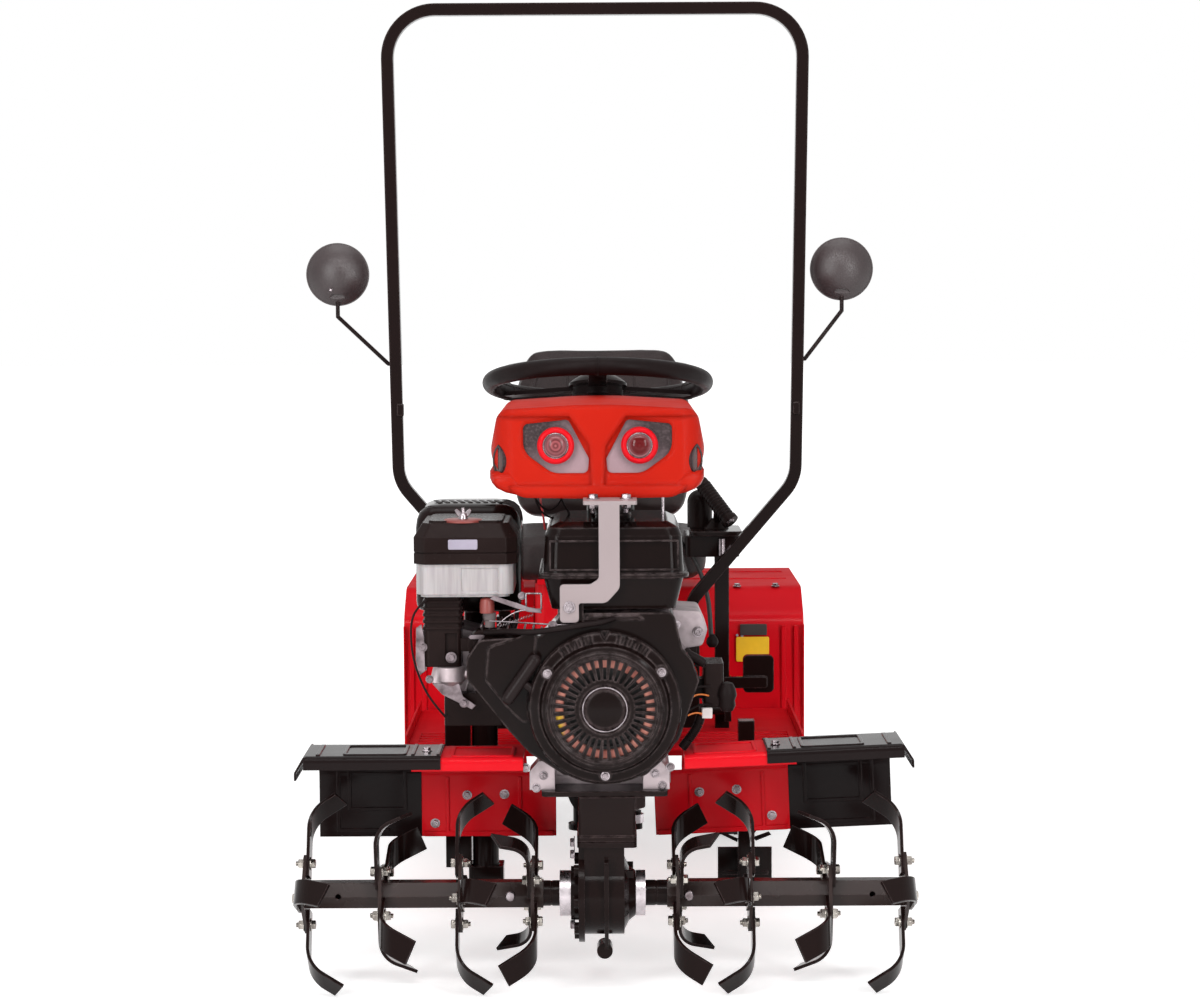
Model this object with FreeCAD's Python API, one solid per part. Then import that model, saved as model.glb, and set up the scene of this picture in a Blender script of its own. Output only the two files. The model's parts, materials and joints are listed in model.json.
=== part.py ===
import FreeCAD, Part
import math
import os

from FreeCAD import Vector as V

# Ride-on front-tine tiller ("compact tractor"), millimetres, +Z up, the front faces -Y.
# The origin is on the ground, under the middle of the machine.
# Depths below are measured backwards from the rotor axis.

# ---- driving dimensions -------------------------------------------------------------
ROTOR_Y = -634.0            # rotor axis, from the origin
OUTLINE_SHIFT = 17.2        # wheels' middle plane, right of the outline's middle, where the origin lies
SLIDE_FIT = 0.05            # radial clearance of a running fit
OPEN_PIVOT = 0.4            # radial clearance of the pivots where the steering loop opens
WASHER_GAP = 0.5            # end play beside a turning piece

# rotor
TINE_WIDTH = 38.0
TINE_THICK = 5.0
TINE_ROOT = 26.0            # radius where a blade starts on its flange
TINE_PIVOT = 38.0           # radius about which a blade leans back
TINE_LEAN = 20.0            # how far a blade trails the radius, degrees
TINE_SKEW = -25.0           # slant of the bend line across the blade, degrees
TINE_BEND = 68.0            # turn from the leg to the foot, degrees
TINE_BEND_R = 38.0          # middle of the sheet
TINE_LEG = 90.2             # where the bend starts on the blade's centre line
TINE_FOOT = 28.0
FLANGE_THICK = 5.0
FLANGE_SIDE = 86.0
# distance of each flange from the middle, side its feet turn to,
# and the places of the tips of the pairs on its outer and its inner face
FLANGES = ((110.0, 1, 44.0, -46.0), (220.0, -1, -13.0, 77.0),
           (340.0, -1, 23.0, -67.0), (456.0, -1, 77.0, -13.0))
HEX_FLATS = 39.0
HEX_IN = 94.0
HEX_OUT = 460.0
SHAFT_R = 18.0
SHAFT_HALF = 130.0
HEX_BORE = 15.5
PIN_HOLE_R = 4.5
PIN_X = 405.0

# wheels and rear axle
TYRE_R = 207.0
TYRE_WIDTH = 100.0
TYRE_SIDES = 48             # flat steps round the carcass
LUGS = 22                   # on each side of the tread
LUG_HEIGHT = 15.0
RIM_R = 104.0
RIM_HALF = 34.0
WHEEL_X = 255.0
AXLE_D = 1170.0
KINGPIN_X = 165.0
KINGPIN_R = 12.0
SLEEVE_R = 22.0
STUB_R = 12.5
STEER_ARM = 90.0            # pitman arm and the arm it drives
TRACK_ARM = 100.0           # arms that the tie rod joins
ARM_Z = 184.0
ARM_THICK = 10.0
LINK_THICK = 14.0
LINK_PIN_R = 6.0
PITMAN_X = -40.0
PITMAN_D = 330.0

# frame
RAIL_X = 80.0
RAIL_W = 40.0
RAIL_Z = 310.0
RAIL_H = 50.0
RAIL_FRONT = 286.0
RAIL_REAR = AXLE_D + 202.0
BEARER_X = 82.0
BEARER_W = 26.0
BEARER_H = 16.0
AXLE_BEAM = 50.0
SLEEVE_LOW = 244.0
HITCH_R = 11.0
HITCH_D = RAIL_REAR + 34.0
HITCH_Z = RAIL_Z + 18.0

# gear case and its column
CASE_LEFT = -31.0
CASE_RIGHT = 29.0
CASE_R = 62.0
CASE_TOP = 234.0
COLUMN_L = -40.0
COLUMN_R = 46.0
COLUMN_FLANGE = 17.0
MOUNT_Z = RAIL_Z
MOUNT_T = 8.0
MOUNT_HALF = 95.0
PLATE_TOP = MOUNT_Z + MOUNT_T

# engine
CRANK_X = 1.0
CRANK_Z = 451.0
HOUSING_D = -62.0           # front face of the fan housing
HOUSING_BACK = 12.0
RECOIL_R = 114.0
RECOIL_DEEP = 40.0
SLOTS = 36
SLOT_IN = 45.0
SLOT_OUT = 74.0
BADGE_R = 35.0
BOSSES = (math.radians(-58), math.radians(57), math.radians(180))   # turns of the cover bosses
BLOCK_BACK = 230.0
TANK_Z = 594.0
TANK_SEAM = 642.0
TANK_TOP = 724.0
CLEANER_Z = 609.0
CLEANER_L = -286.0
CLEANER_R = -130.0
CLEANER_D0 = -20.0
CLEANER_D1 = 150.0
CLEANER_CUT = 16.0
INTAKE_X = -244.0
CARB_X = -232.0
CARB_D = 8.0

# fairing and steering
FAIRING_X = -8.0
FAIRING_HALF = 164.0
FAIRING_LOW = 758.0
FAIRING_TOP = 899.0
FAIRING_DEPTH = 320.0
FAIRING_WALL = 6.0
LIP_HEIGHT = 18.0
LAMP_X = 63.0
LAMP_Z = 836.0
LENS_R = 19.0
RING_R = 29.0
STEER_X = -8.0
STEER_RING_R = 177.0
STEER_TUBE_R = 14.5
STEER_D = 430.0
STEER_Z = 913.0
HUB_R = 48.0
COLUMN_TILT = 11.0
TUBE_R = 19.0
STEM_R = 11.0
STEM_DOWN = 78.0
COLUMN_GAP = 30.0
BOX_Z = RAIL_Z + RAIL_H
BOX_TOP = BOX_Z + 60.0

# hoop and mirrors
HOOP_X = -10.0
HOOP_D = 500.0
HOOP_TUBE = 20.0
HOOP_TOP = 1534.0
HOOP_HALF = 348.0
HOOP_LOW_HALF = 335.0
HOOP_LOW_Z = 746.0
HOOP_FOOT_Z = 539.0
HOOP_BEND_R = 80.0
POST_D = HOOP_D + HOOP_TUBE / 2   # the frame's posts stand behind the hoop's feet
POST_X = 158.0
POST_TOP = 513.0
MIRROR_R = 53.0
MIRROR_ROD = 3.5
# side, height of the clamp, place of the mirror and height of the rod's knee
MIRRORS = ((-1, 944.0, -446.0, 1095.0, 1024.0), (1, 949.0, 404.0, 1100.0, 1030.0))

# guards over the tines
GUARD_T = 3.0
GUARD_TOP = 373.0
GUARD_LIP = 20.0
GUARD_FRONT = -50.0
GUARD_CREST = 70.0
GUARD_BACK = 178.0
GUARD_LOW = 205.0
GUARD_IN = 77.0
GUARD_SPLIT = 290.0
GUARD_LAP = 246.0
GUARD_END = 462.0
GUARD_TILT = 2.3            # the right-hand guard rises outwards, degrees
GUARD_BAR = 330.0

# fenders, deck, seat
FENDER_IN = 130.0
FENDER_OUT = 371.0
FENDER_T = 3.0
FENDER_FRONT = AXLE_D - TYRE_R - 58.0
FENDER_LOW = 236.0
FENDER_TOP = 508.0
SEAT_Z = 548.0
SEAT_FRONT = 745.0
SEAT_BACK_D = 1075.0
SEAT_TOP = 952.0
DECK_Z = 288.0
DECK_T = 4.0

# pedal and levers
PEDAL_X = 271.0
PEDAL_D = 640.0
PEDAL_Z = 393.0
CONSOLE_X = 190.0
CONSOLE_Z = 604.0

nodes = {}


# ---- helpers ------------------------------------------------------------------------
def back(depth):
    """Y of a place this far behind the rotor axis."""
    return ROTOR_Y + depth


def box(x0, x1, d0, d1, z0, z1):
    return Part.makeBox(x1 - x0, d1 - d0, z1 - z0, V(x0, back(d0), z0))


def rod(start, end, radius):
    """Round bar between two points given as (x, depth, z)."""
    a = V(start[0], back(start[1]), start[2])
    b = V(end[0], back(end[1]), end[2])
    return Part.makeCylinder(radius, (b - a).Length, a, b - a)


def corner_wire(points, radii):
    """Closed wire through 3-D points whose corners are rounded to the given radii."""
    count = len(points)
    if not isinstance(radii, (list, tuple)):
        radii = [radii] * count
    ends = []
    for i in range(count):
        p, before, after = points[i], points[i - 1], points[(i + 1) % count]
        r = radii[i]
        if r <= 0:
            ends.append((p, p, p))
            continue
        u = (before - p).normalize()
        w = (after - p).normalize()
        half = u.getAngle(w) / 2
        cut = r / math.tan(half)
        axis = (u + w).normalize()
        mid = p + axis * (r / math.sin(half) - r)
        ends.append((p + u * cut, mid, p + w * cut))
    edges = []
    for i in range(count):
        a, m, b = ends[i]
        if (a - b).Length > 1e-6:
            edges.append(Part.Arc(a, m, b).toShape())
        nxt = ends[(i + 1) % count][0]
        if (nxt - b).Length > 1e-6:
            edges.append(Part.LineSegment(b, nxt).toShape())
    return Part.Wire(edges)


def front_plate(outline, radii, d0, d1):
    """Prism whose (x, z) outline is seen from the front."""
    wire = corner_wire([V(x, back(d0), z) for x, z in outline], radii)
    return Part.Face(wire).extrude(V(0, d1 - d0, 0))


def side_plate(outline, radii, x0, x1):
    """Prism whose (depth, z) outline is seen from the side."""
    wire = corner_wire([V(x0, back(d), z) for d, z in outline], radii)
    return Part.Face(wire).extrude(V(x1 - x0, 0, 0))


def plan_wire(outline, radii, z):
    return corner_wire([V(x, back(d), z) for x, d in outline], radii)


def plan_plate(outline, radii, z0, z1):
    """Prism whose (x, depth) outline is seen from above."""
    return Part.Face(plan_wire(outline, radii, z0)).extrude(V(0, 0, z1 - z0))


def rectangle(x0, x1, d0, d1):
    return [(x0, d0), (x1, d0), (x1, d1), (x0, d1)]


def rounded_box(x0, x1, d0, d1, z0, z1, radius):
    """Box with rounded upright edges."""
    return plan_plate(rectangle(x0, x1, d0, d1), radius, z0, z1)


def bent_strip(path, bends, thick):
    """Outline of a bent strip, its (u, v) path thickened to one side, and its corner radii."""
    inner = []
    turns = []
    for i, p in enumerate(path):
        a = path[max(i - 1, 0)]
        b = path[min(i + 1, len(path) - 1)]
        n1 = unit_normal(a, p) if i > 0 else unit_normal(p, b)
        n2 = unit_normal(p, b) if i < len(path) - 1 else n1
        k = 1 + n1[0] * n2[0] + n1[1] * n2[1]
        inner.append((p[0] + (n1[0] + n2[0]) * thick / k, p[1] + (n1[1] + n2[1]) * thick / k))
        turns.append(n1[0] * n2[1] - n1[1] * n2[0])
    radii = []
    for bend, turn in zip(bends, turns):
        grow = thick if turn < 0 else -thick
        radii.append((bend, max(bend - grow, 0) if bend else 0))
    return path + inner[::-1], [r[0] for r in radii] + [r[1] for r in reversed(radii)]


def unit_normal(a, b):
    dx, dy = b[0] - a[0], b[1] - a[1]
    size = math.hypot(dx, dy)
    return (dy / size, -dx / size)


def mirror_x(shape):
    return shape.mirror(V(0, 0, 0), V(1, 0, 0))


def fuse(shapes):
    whole = shapes[0].fuse(shapes[1:]) if len(shapes) > 1 else shapes[0]
    return whole.removeSplitter()


def group(shapes):
    return Part.makeCompound(shapes)


# ---- rotor --------------------------------------------------------------------------
def blade():
    """One tine along +Z in the rotor's own axes, its foot turned towards +X.

    The bend line runs aslant, so the foot twists away from the leg's plane: `along` lies
    on that line, `up` crosses it in the plane of the leg.
    """
    skew = math.radians(TINE_SKEW)
    along = V(0, math.cos(skew), math.sin(skew))
    up = V(0, -math.sin(skew), math.cos(skew))
    side = V(1, 0, 0)
    start = TINE_LEG * math.cos(skew)
    turn = math.radians(TINE_BEND)
    span = TINE_BEND_R * turn

    def flat(y, z):
        """Place on the flat strip, measured along and across the bend line."""
        return y * math.cos(skew) + z * math.sin(skew), -y * math.sin(skew) + z * math.cos(skew)

    def edge_at(y, s):
        return (y + s * math.sin(skew)) / math.cos(skew)

    def folded(a, s, lift):
        """The same place once the strip is bent, at a height above its middle."""
        if s <= start:
            return along * a + up * s + side * lift
        angle = min(s - start, span) / TINE_BEND_R
        centre = up * start + side * TINE_BEND_R
        radius = TINE_BEND_R - lift
        point = centre + up * (radius * math.sin(angle)) - side * (radius * math.cos(angle))
        rest = s - start - span
        if rest > 0:
            point += (up * math.cos(angle) + side * math.sin(angle)) * rest
        return point + along * a

    half = TINE_WIDTH / 2
    thick = TINE_THICK / 2

    def slab(corners):
        low, high = [[folded(a, s, t) for a, s in corners] for t in (-thick, thick)]
        sides = [Part.Face(Part.makePolygon([low[i - 1], low[i], high[i], high[i - 1], low[i - 1]]))
                 for i in range(len(low))]
        ends = [Part.Face(Part.makePolygon(c + c[:1])) for c in (low, high)]
        return Part.makeSolid(Part.makeShell(sides + ends))

    leg = slab([flat(-half, TINE_ROOT), flat(half, TINE_ROOT),
                (edge_at(half, start), start), (edge_at(-half, start), start)])
    sections = []
    for i in range(6):
        s = start + span * i / 5
        ring = [folded(edge_at(-half, s), s, -thick), folded(edge_at(half, s), s, -thick),
                folded(edge_at(half, s), s, thick), folded(edge_at(-half, s), s, thick)]
        sections.append(Part.makePolygon(ring + ring[:1]))
    bend = Part.makeLoft(sections, True, False)
    bent_end = start + span
    foot_end = bent_end / math.cos(skew) + TINE_FOOT
    foot = slab([(edge_at(-half, bent_end), bent_end), (edge_at(half, bent_end), bent_end),
                 flat(half, foot_end), flat(-half, foot_end)])
    for piece in (leg, bend, foot):
        if piece.Volume < 0:
            piece.reverse()
    whole = fuse([leg, bend, foot])
    whole.rotate(V(0, 0, TINE_PIVOT), V(1, 0, 0), -TINE_LEAN)
    middle = bent_end + TINE_FOOT / 2
    tip = folded(edge_at(0, middle), middle, 0)
    lean = math.radians(TINE_LEAN)
    y = tip.y * math.cos(lean) + (tip.z - TINE_PIVOT) * math.sin(lean)
    z = TINE_PIVOT - tip.y * math.sin(lean) + (tip.z - TINE_PIVOT) * math.cos(lean)
    whole.rotate(V(0, 0, 0), V(1, 0, 0), math.degrees(math.atan2(y, z)))
    return whole


def tine_sets():
    """All blades, with the rotor axis through the origin."""
    pattern = blade()
    blades = []
    for x, turned, outer, inner in FLANGES:
        for face, place in ((1, outer), (-1, inner)):
            for opposite in (0, 180):
                tine = pattern.copy()
                tine.rotate(V(0, 0, 0), V(1, 0, 0), place + opposite)
                if turned < 0:
                    tine = mirror_x(tine)
                tine.translate(V(x + face * (FLANGE_THICK + TINE_THICK) / 2, 0, 0))
                blades.append(tine)
    return blades + [mirror_x(tine) for tine in blades]


def hexagon(x, flats):
    """Hexagon across the X axis, flat on top and underneath."""
    radius = flats / math.sqrt(3)
    corners = []
    for i in range(6):
        a = math.radians(30 + 60 * i)
        corners.append(V(x, radius * math.sin(a), radius * math.cos(a)))
    return Part.Face(Part.makePolygon(corners + corners[:1]))


def tine_tube():
    """Hexagonal tube of the right-hand side with the square flanges welded on it."""
    shapes = [hexagon(HEX_IN, HEX_FLATS).extrude(V(HEX_OUT - HEX_IN, 0, 0))]
    half = FLANGE_SIDE / 2
    for x, _, outer, _ in FLANGES:
        plate = Part.makeBox(FLANGE_THICK, FLANGE_SIDE, FLANGE_SIDE, V(x - FLANGE_THICK / 2, -half, -half))
        plate.rotate(V(0, 0, 0), V(1, 0, 0), outer + 45.0 + TINE_LEAN * 0.65)
        shapes.append(plate)
    axis = V(1, 0, 0)
    whole = fuse(shapes)
    whole = whole.cut(Part.makeCylinder(SHAFT_R, SHAFT_HALF - HEX_IN, V(HEX_IN, 0, 0), axis))
    bore = Part.makeCylinder(HEX_BORE, HEX_OUT - HEX_IN + 2, V(HEX_IN - 1, 0, 0), axis)
    pin_hole = Part.makeCylinder(PIN_HOLE_R, 2 * HEX_FLATS, V(PIN_X, -HEX_FLATS, 0), V(0, 1, 0))
    return whole.cut(bore).cut(pin_hole)


tube = tine_tube()
blades = [b.cut(tube).cut(mirror_x(tube)) for b in tine_sets()]
AXIS_Z = -min(b.BoundBox.ZMin for b in blades)      # the rotor stands on its lowest tines


def seat_rotor(shape):
    """Carries a shape made about the origin to the rotor axis."""
    placed = shape.copy()
    placed.translate(V(0, ROTOR_Y, AXIS_Z))
    return placed


nodes["tine_blades"] = group([seat_rotor(b) for b in blades])
nodes["tine_tubes"] = group([seat_rotor(tube), seat_rotor(mirror_x(tube))])
nodes["rotor_shaft"] = rod((-SHAFT_HALF, 0, AXIS_Z), (SHAFT_HALF, 0, AXIS_Z), SHAFT_R)


# ---- gear case and drive --------------------------------------------------------------
def x_disc(radius, x0, x1):
    return rod((x0, 0, AXIS_Z), (x1, 0, AXIS_Z), radius)


def x_cone(radius0, radius1, x0, x1):
    return Part.makeCone(radius0, radius1, x1 - x0, V(x0, back(0), AXIS_Z), V(1, 0, 0))


def teardrop(x0, x1, radius, point):
    """Flange across the axle that runs to a point below and up to the column."""
    z = AXIS_Z
    outline = [(-radius, CASE_TOP - 18), (radius, CASE_TOP - 18), (radius, z - 20), (12, z - point),
               (-12, z - point), (-radius, z - 20)]
    return side_plate(outline, [6, 6, radius * 0.8, 10, 10, radius * 0.8], x0, x1)


def gear_case():
    """Worm gear case: two unlike halves bolted on a flange, hubs for the tine shaft."""
    shapes = [
        x_disc(CASE_R, CASE_LEFT, CASE_RIGHT),
        x_disc(CASE_R + 12, COLUMN_L, CASE_LEFT),
        teardrop(-1, 5, CASE_R + 8, 91),
        x_cone(CASE_R - 6, 42, CASE_RIGHT, CASE_RIGHT + 7),
        x_cone(42, 34, CASE_RIGHT + 7, COLUMN_R),
        x_disc(41, COLUMN_L - 12, COLUMN_L),
        box(CASE_LEFT, CASE_RIGHT, -50, 50, AXIS_Z, CASE_TOP),
        box(COLUMN_L, CASE_LEFT, -42, 42, AXIS_Z, CASE_TOP),
        rod((-1, -18, AXIS_Z - 86), (-1, 18, AXIS_Z - 86), 12).common(box(-40, 40, -30, 30, 0, AXIS_Z)),
        rounded_box(COLUMN_L - 2, COLUMN_R + 2, -56, 66, CASE_TOP, CASE_TOP + COLUMN_FLANGE / 2 - 0.75, 8),
    ]
    for angle in range(-135, 136, 45):
        a = math.radians(angle)
        y, z = 62 * math.sin(a), AXIS_Z - 62 * math.cos(a)
        shapes.append(rod((COLUMN_L - 7, y, z), (COLUMN_L, y, z), 9))
    for side in (-1, 1):
        outline = [(-4, CASE_TOP - 40), (4, CASE_TOP - 40), (4, AXIS_Z + 30), (-4, AXIS_Z + 30)]
        rib = side_plate(outline, 0, 5, CASE_RIGHT + 14)
        rib.translate(V(0, side * 30, 0))
        shapes.append(rib)
    return fuse(shapes).cut(x_disc(SHAFT_R + SLIDE_FIT, -SHAFT_HALF, SHAFT_HALF))


def collar(x0, x1):
    return x_disc(34.5, x0, x1).cut(x_disc(SHAFT_R + SLIDE_FIT, x0 - 1, x1 + 1))


def shaft_sleeve(x0, x1):
    """Black spacer on the shaft with a turned groove."""
    groove = (x0 + x1) / 2
    turned = fuse([x_disc(19.5, x0, groove - 1.5), x_disc(18.8, groove - 1.5, groove + 1.5),
                   x_disc(19.5, groove + 1.5, x1)])
    return turned.cut(x_disc(SHAFT_R, x0 - 1, x1 + 1))


nodes["gear_case"] = gear_case()
nodes["bearing_collars"] = group([collar(-69, COLUMN_L - 12), collar(COLUMN_R + 0.5, 61)])
nodes["shaft_sleeves"] = group([shaft_sleeve(-HEX_IN, -69.5), shaft_sleeve(61.5, HEX_IN)])


def gearbox():
    """Upright housing between the engine plate and the gear case, and the box behind it."""
    joint = CASE_TOP + COLUMN_FLANGE / 2 + 0.75
    front = rounded_box(COLUMN_L, COLUMN_R, -50, 62, CASE_TOP + COLUMN_FLANGE, MOUNT_Z, 6)
    flange = rounded_box(COLUMN_L - 2, COLUMN_R + 2, -56, 66, joint, CASE_TOP + COLUMN_FLANGE, 8)
    gasket = rounded_box(COLUMN_L, COLUMN_R, -54, 64, joint - 1.5, joint, 8)
    rear = box(COLUMN_L, COLUMN_R, 62, BLOCK_BACK, CASE_TOP + COLUMN_FLANGE, MOUNT_Z)
    gusset = front_plate([(COLUMN_R, MOUNT_Z - 20), (COLUMN_R + 15, MOUNT_Z - 16), (COLUMN_R + 15, MOUNT_Z),
                          (COLUMN_R, MOUNT_Z)], [0, 4, 0, 0], -48, -40)
    return fuse([front, flange, gasket, rear, gusset])


nodes["drive_gearbox"] = gearbox()


def belt_cover():
    """Flat cover over the belt, from the crankshaft down to the gearbox input."""
    top_r, low_r, low_z = 84.0, 62.0, 276.0
    d0, d1 = BLOCK_BACK, BLOCK_BACK + 52
    hull = front_plate([(-low_r, low_z), (low_r, low_z), (top_r, CRANK_Z), (-top_r, CRANK_Z)], 0, d0, d1)
    return fuse([hull, rod((0, d0, CRANK_Z), (0, d1, CRANK_Z), top_r),
                 rod((0, d0, low_z), (0, d1, low_z), low_r),
                 rod((0, d1, CRANK_Z), (0, d1 + 3, CRANK_Z), top_r - 18)])


nodes["belt_cover"] = belt_cover()
nodes["engine_mount"] = rounded_box(
    -MOUNT_HALF, MOUNT_HALF, -46, RAIL_FRONT - 14, MOUNT_Z, PLATE_TOP, 10).cut(nodes["belt_cover"])


# ---- engine -----------------------------------------------------------------------------
def crankcase():
    foot = rounded_box(-101, 101, HOUSING_BACK + 4, BLOCK_BACK - 4, PLATE_TOP, PLATE_TOP + 14, 12)
    sump = rounded_box(-92, 96, HOUSING_BACK, BLOCK_BACK, PLATE_TOP + 14, 488, 20)
    upper = rounded_box(-70, 104, HOUSING_BACK, BLOCK_BACK - 20, 488, TANK_Z, 20)
    side = front_plate([(100, 520), (150, 528), (158, 553), (146, 580), (100, 583)], 8, 30, 150)
    pads = []
    for outer, inner in ((-113, -75), (98, 58)):
        toward = 14 if inner > outer else -14
        pads.append(front_plate([(outer, PLATE_TOP), (inner, PLATE_TOP), (inner, 362), (outer + toward, 362),
                                 (outer, 346)], [0, 0, 4, 4, 4], -30, HOUSING_BACK + 4))
    return fuse([foot, sump, upper, side] + pads)


def cylinder_head():
    """Slanted cylinder with cooling fins and its head cover."""
    z = CRANK_Z + 22
    fins = [box(-236, -92, 52, 158, z - 47, z + 47)]
    for i in range(8):
        x = -112.0 - 13.0 * i
        fins.append(box(x - 3, x, 34, 176, z - 63, z + 63))
    fins.append(rounded_box(-262, -236, 50, 160, z - 45, z + 45, 10))
    head = fuse(fins)
    head.rotate(V(-92, back(100), z), V(0, 1, 0), 14)
    return head


nodes["crankcase"] = crankcase()
nodes["cylinder_head"] = cylinder_head().cut(nodes["crankcase"])


def crank_rod(d0, d1, radius):
    return rod((CRANK_X, d0, CRANK_Z), (CRANK_X, d1, CRANK_Z), radius)


def fan_housing():
    """Cooling shroud: a pressed cover round the recoil starter with a duct to the cylinder."""
    top = TANK_Z - 4
    outline = [(-205, 492), (-143, 414), (-112, 380), (-60, 346), (60, 343), (112, 400), (142, 488), (132, 518),
               (117, 536), (104, top), (-60, top), (-92, 556), (-186, 550), (-205, 522)]
    rounds = [10, 14, 20, 20, 20, 30, 6, 4, 6, 12, 12, 18, 14, 12]
    shell = front_plate(outline, rounds, HOUSING_D, HOUSING_BACK)
    step_line = [(-176, 490), (-143, 448), (-112, 418), (-100, 566), (-146, 548), (-172, 540)]
    step = front_plate(step_line, [8, 10, 8, 8, 12, 8], HOUSING_D - 5, HOUSING_D)
    ear = front_plate([(-62, 568), (-30, 568), (-30, top + 20), (-62, top + 20)], 6, HOUSING_D - 4, HOUSING_D)
    flute = front_plate([(-28, top - 10), (60, top - 10), (52, top - 4), (-20, top - 4)],
                        0, HOUSING_D - 3, HOUSING_D)
    shell = fuse([shell, crank_rod(HOUSING_D, HOUSING_BACK, RECOIL_R + 5), ear, flute,
                  step.cut(crank_rod(HOUSING_D - 6, HOUSING_D, RECOIL_R + 1))])
    return shell.cut(crank_rod(HOUSING_D - 1, HOUSING_D + 30, 96))


nodes["fan_housing"] = fan_housing().cut(nodes["crankcase"]).cut(nodes["cylinder_head"])


def revolved(profile, centre_x, centre_z):
    """Solid of revolution about a front-to-back axis from (radius, depth) points."""
    points = [V(centre_x + r, back(d), centre_z) for r, d in profile]
    face = Part.Face(Part.makePolygon(points + points[:1]))
    return face.revolve(V(centre_x, 0, centre_z), V(0, 1, 0), 360)


def around_crank(radius, angle):
    return CRANK_X + radius * math.sin(angle), CRANK_Z + radius * math.cos(angle)


def radial_slot(angle, inner, outer, inner_w, outer_w, d0, d1):
    corner = []
    for r, w in ((inner, -inner_w), (outer, -outer_w), (outer, outer_w), (inner, inner_w)):
        x, z = around_crank(r, angle + w)
        corner.append(V(x, back(d0), z))
    return Part.Face(Part.makePolygon(corner + corner[:1])).extrude(V(0, d1 - d0, 0))


def recoil_cover():
    """Pressed cover of the pull starter: slotted face, raised ring, louvred shoulder."""
    face_d = HOUSING_D - RECOIL_DEEP
    cover = revolved(
        [(0, face_d + 3), (BADGE_R, face_d + 3), (BADGE_R + 2, face_d), (78, face_d), (80, face_d - 3),
         (85, face_d - 3), (87, face_d), (93, face_d + 3), (98, face_d + 14), (RECOIL_R - 3, face_d + 16),
         (RECOIL_R, face_d + 20), (RECOIL_R, HOUSING_D), (96, HOUSING_D), (90, face_d + 18), (84, face_d + 6),
         (0, face_d + 6)], CRANK_X, CRANK_Z)
    bosses = []
    for angle in BOSSES:
        x, z = around_crank(RECOIL_R - 14, angle)
        bosses.append(rod((x, face_d + 7, z), (x, HOUSING_D - 4, z), 8.5))
    cuts = []
    for i in range(SLOTS):
        angle = 2 * math.pi * i / SLOTS
        cuts.append(radial_slot(angle, SLOT_IN, SLOT_OUT, 0.045, 0.04, face_d - 2, face_d + 8))
    louvres = []
    for middle in (-0.42, 0.42):
        for i in range(5):
            angle = middle + 0.11 * (i - 2)
            louvres.append(radial_slot(angle, 97, RECOIL_R - 4, 0.022, 0.022, face_d, face_d + 19))
    x, z = around_crank(RECOIL_R, 0)
    notch = front_plate([(x, z - 13), (x + 9, z + 2), (x - 9, z + 2)], 0, face_d + 10, HOUSING_D - 8)
    return fuse([cover] + bosses).cut(cuts + louvres + [notch])


nodes["recoil_cover"] = recoil_cover()
nodes["recoil_fan"] = revolved(
    [(0, HOUSING_D - 32), (36, HOUSING_D - 32), (36, HOUSING_D - 24), (56, HOUSING_D - 24),
     (56, HOUSING_D - 29), (76, HOUSING_D - 29), (76, HOUSING_D + 30), (0, HOUSING_D + 30)], CRANK_X, CRANK_Z)


def recoil_grip():
    """Handle of the starter rope with its guide sleeve."""
    grip = rod((-103, HOUSING_D - 20, 522), (-142, HOUSING_D - 20, 466), 10)
    ends = [Part.makeSphere(10, V(x, back(HOUSING_D - 20), z)) for x, z in ((-103, 522), (-142, 466))]
    sleeve = rod((-124, HOUSING_D - 20, 492), (-94, HOUSING_D - 16, 468), 6)
    return fuse([grip, sleeve] + ends)


nodes["recoil_grip"] = recoil_grip().cut(nodes["fan_housing"]).cut(nodes["recoil_cover"])


def fuel_tank():
    """Pressed tank of two halves with a seam flange."""
    x0, x1, d0, d1 = -92.0, 122.0, HOUSING_D, 188.0
    flange = 5.0

    def section(inset, z):
        return plan_wire(rectangle(x0 + inset, x1 - inset, d0 + inset, d1 - inset), 26 - inset / 2, z)

    upper = Part.makeLoft([section(2, TANK_SEAM + 6), section(5, TANK_TOP - 20), section(10, TANK_TOP - 8),
                           section(26, TANK_TOP)], True, True)
    lower = Part.makeLoft([section(14, TANK_Z), section(2, TANK_SEAM)], True, True)
    seam = rounded_box(x0 - flange, x1 + flange, d0 - flange, d1 + flange, TANK_SEAM, TANK_SEAM + 6, 28)
    mid = (x0 + x1) / 2
    neck = rod((mid, 90, TANK_TOP), (mid, 90, TANK_TOP + 6), 27)
    cap = rod((mid, 90, TANK_TOP + 6), (mid, 90, TANK_TOP + 22), 33)
    grips = [rod((mid + 33 * math.cos(a), 90 + 33 * math.sin(a), TANK_TOP + 5),
                 (mid + 33 * math.cos(a), 90 + 33 * math.sin(a), TANK_TOP + 23), 4)
             for a in [math.pi / 4 * i for i in range(8)]]
    return fuse([lower, seam, upper, neck, cap.cut(grips)])


nodes["fuel_tank"] = fuel_tank()


def chamfered_plan(inset, z):
    """Plan outline of the air cleaner with its corners cut off."""
    x0, x1, d0, d1 = CLEANER_L + inset, CLEANER_R - inset, CLEANER_D0 + inset, CLEANER_D1 - inset
    c = CLEANER_CUT - inset * 0.3
    corners = [(x0 + c, d0), (x1 - c, d0), (x1, d0 + c), (x1, d1 - c), (x1 - c, d1), (x0 + c, d1), (x0, d1 - c),
               (x0, d0 + c)]
    return plan_wire(corners, 4, z)


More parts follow.
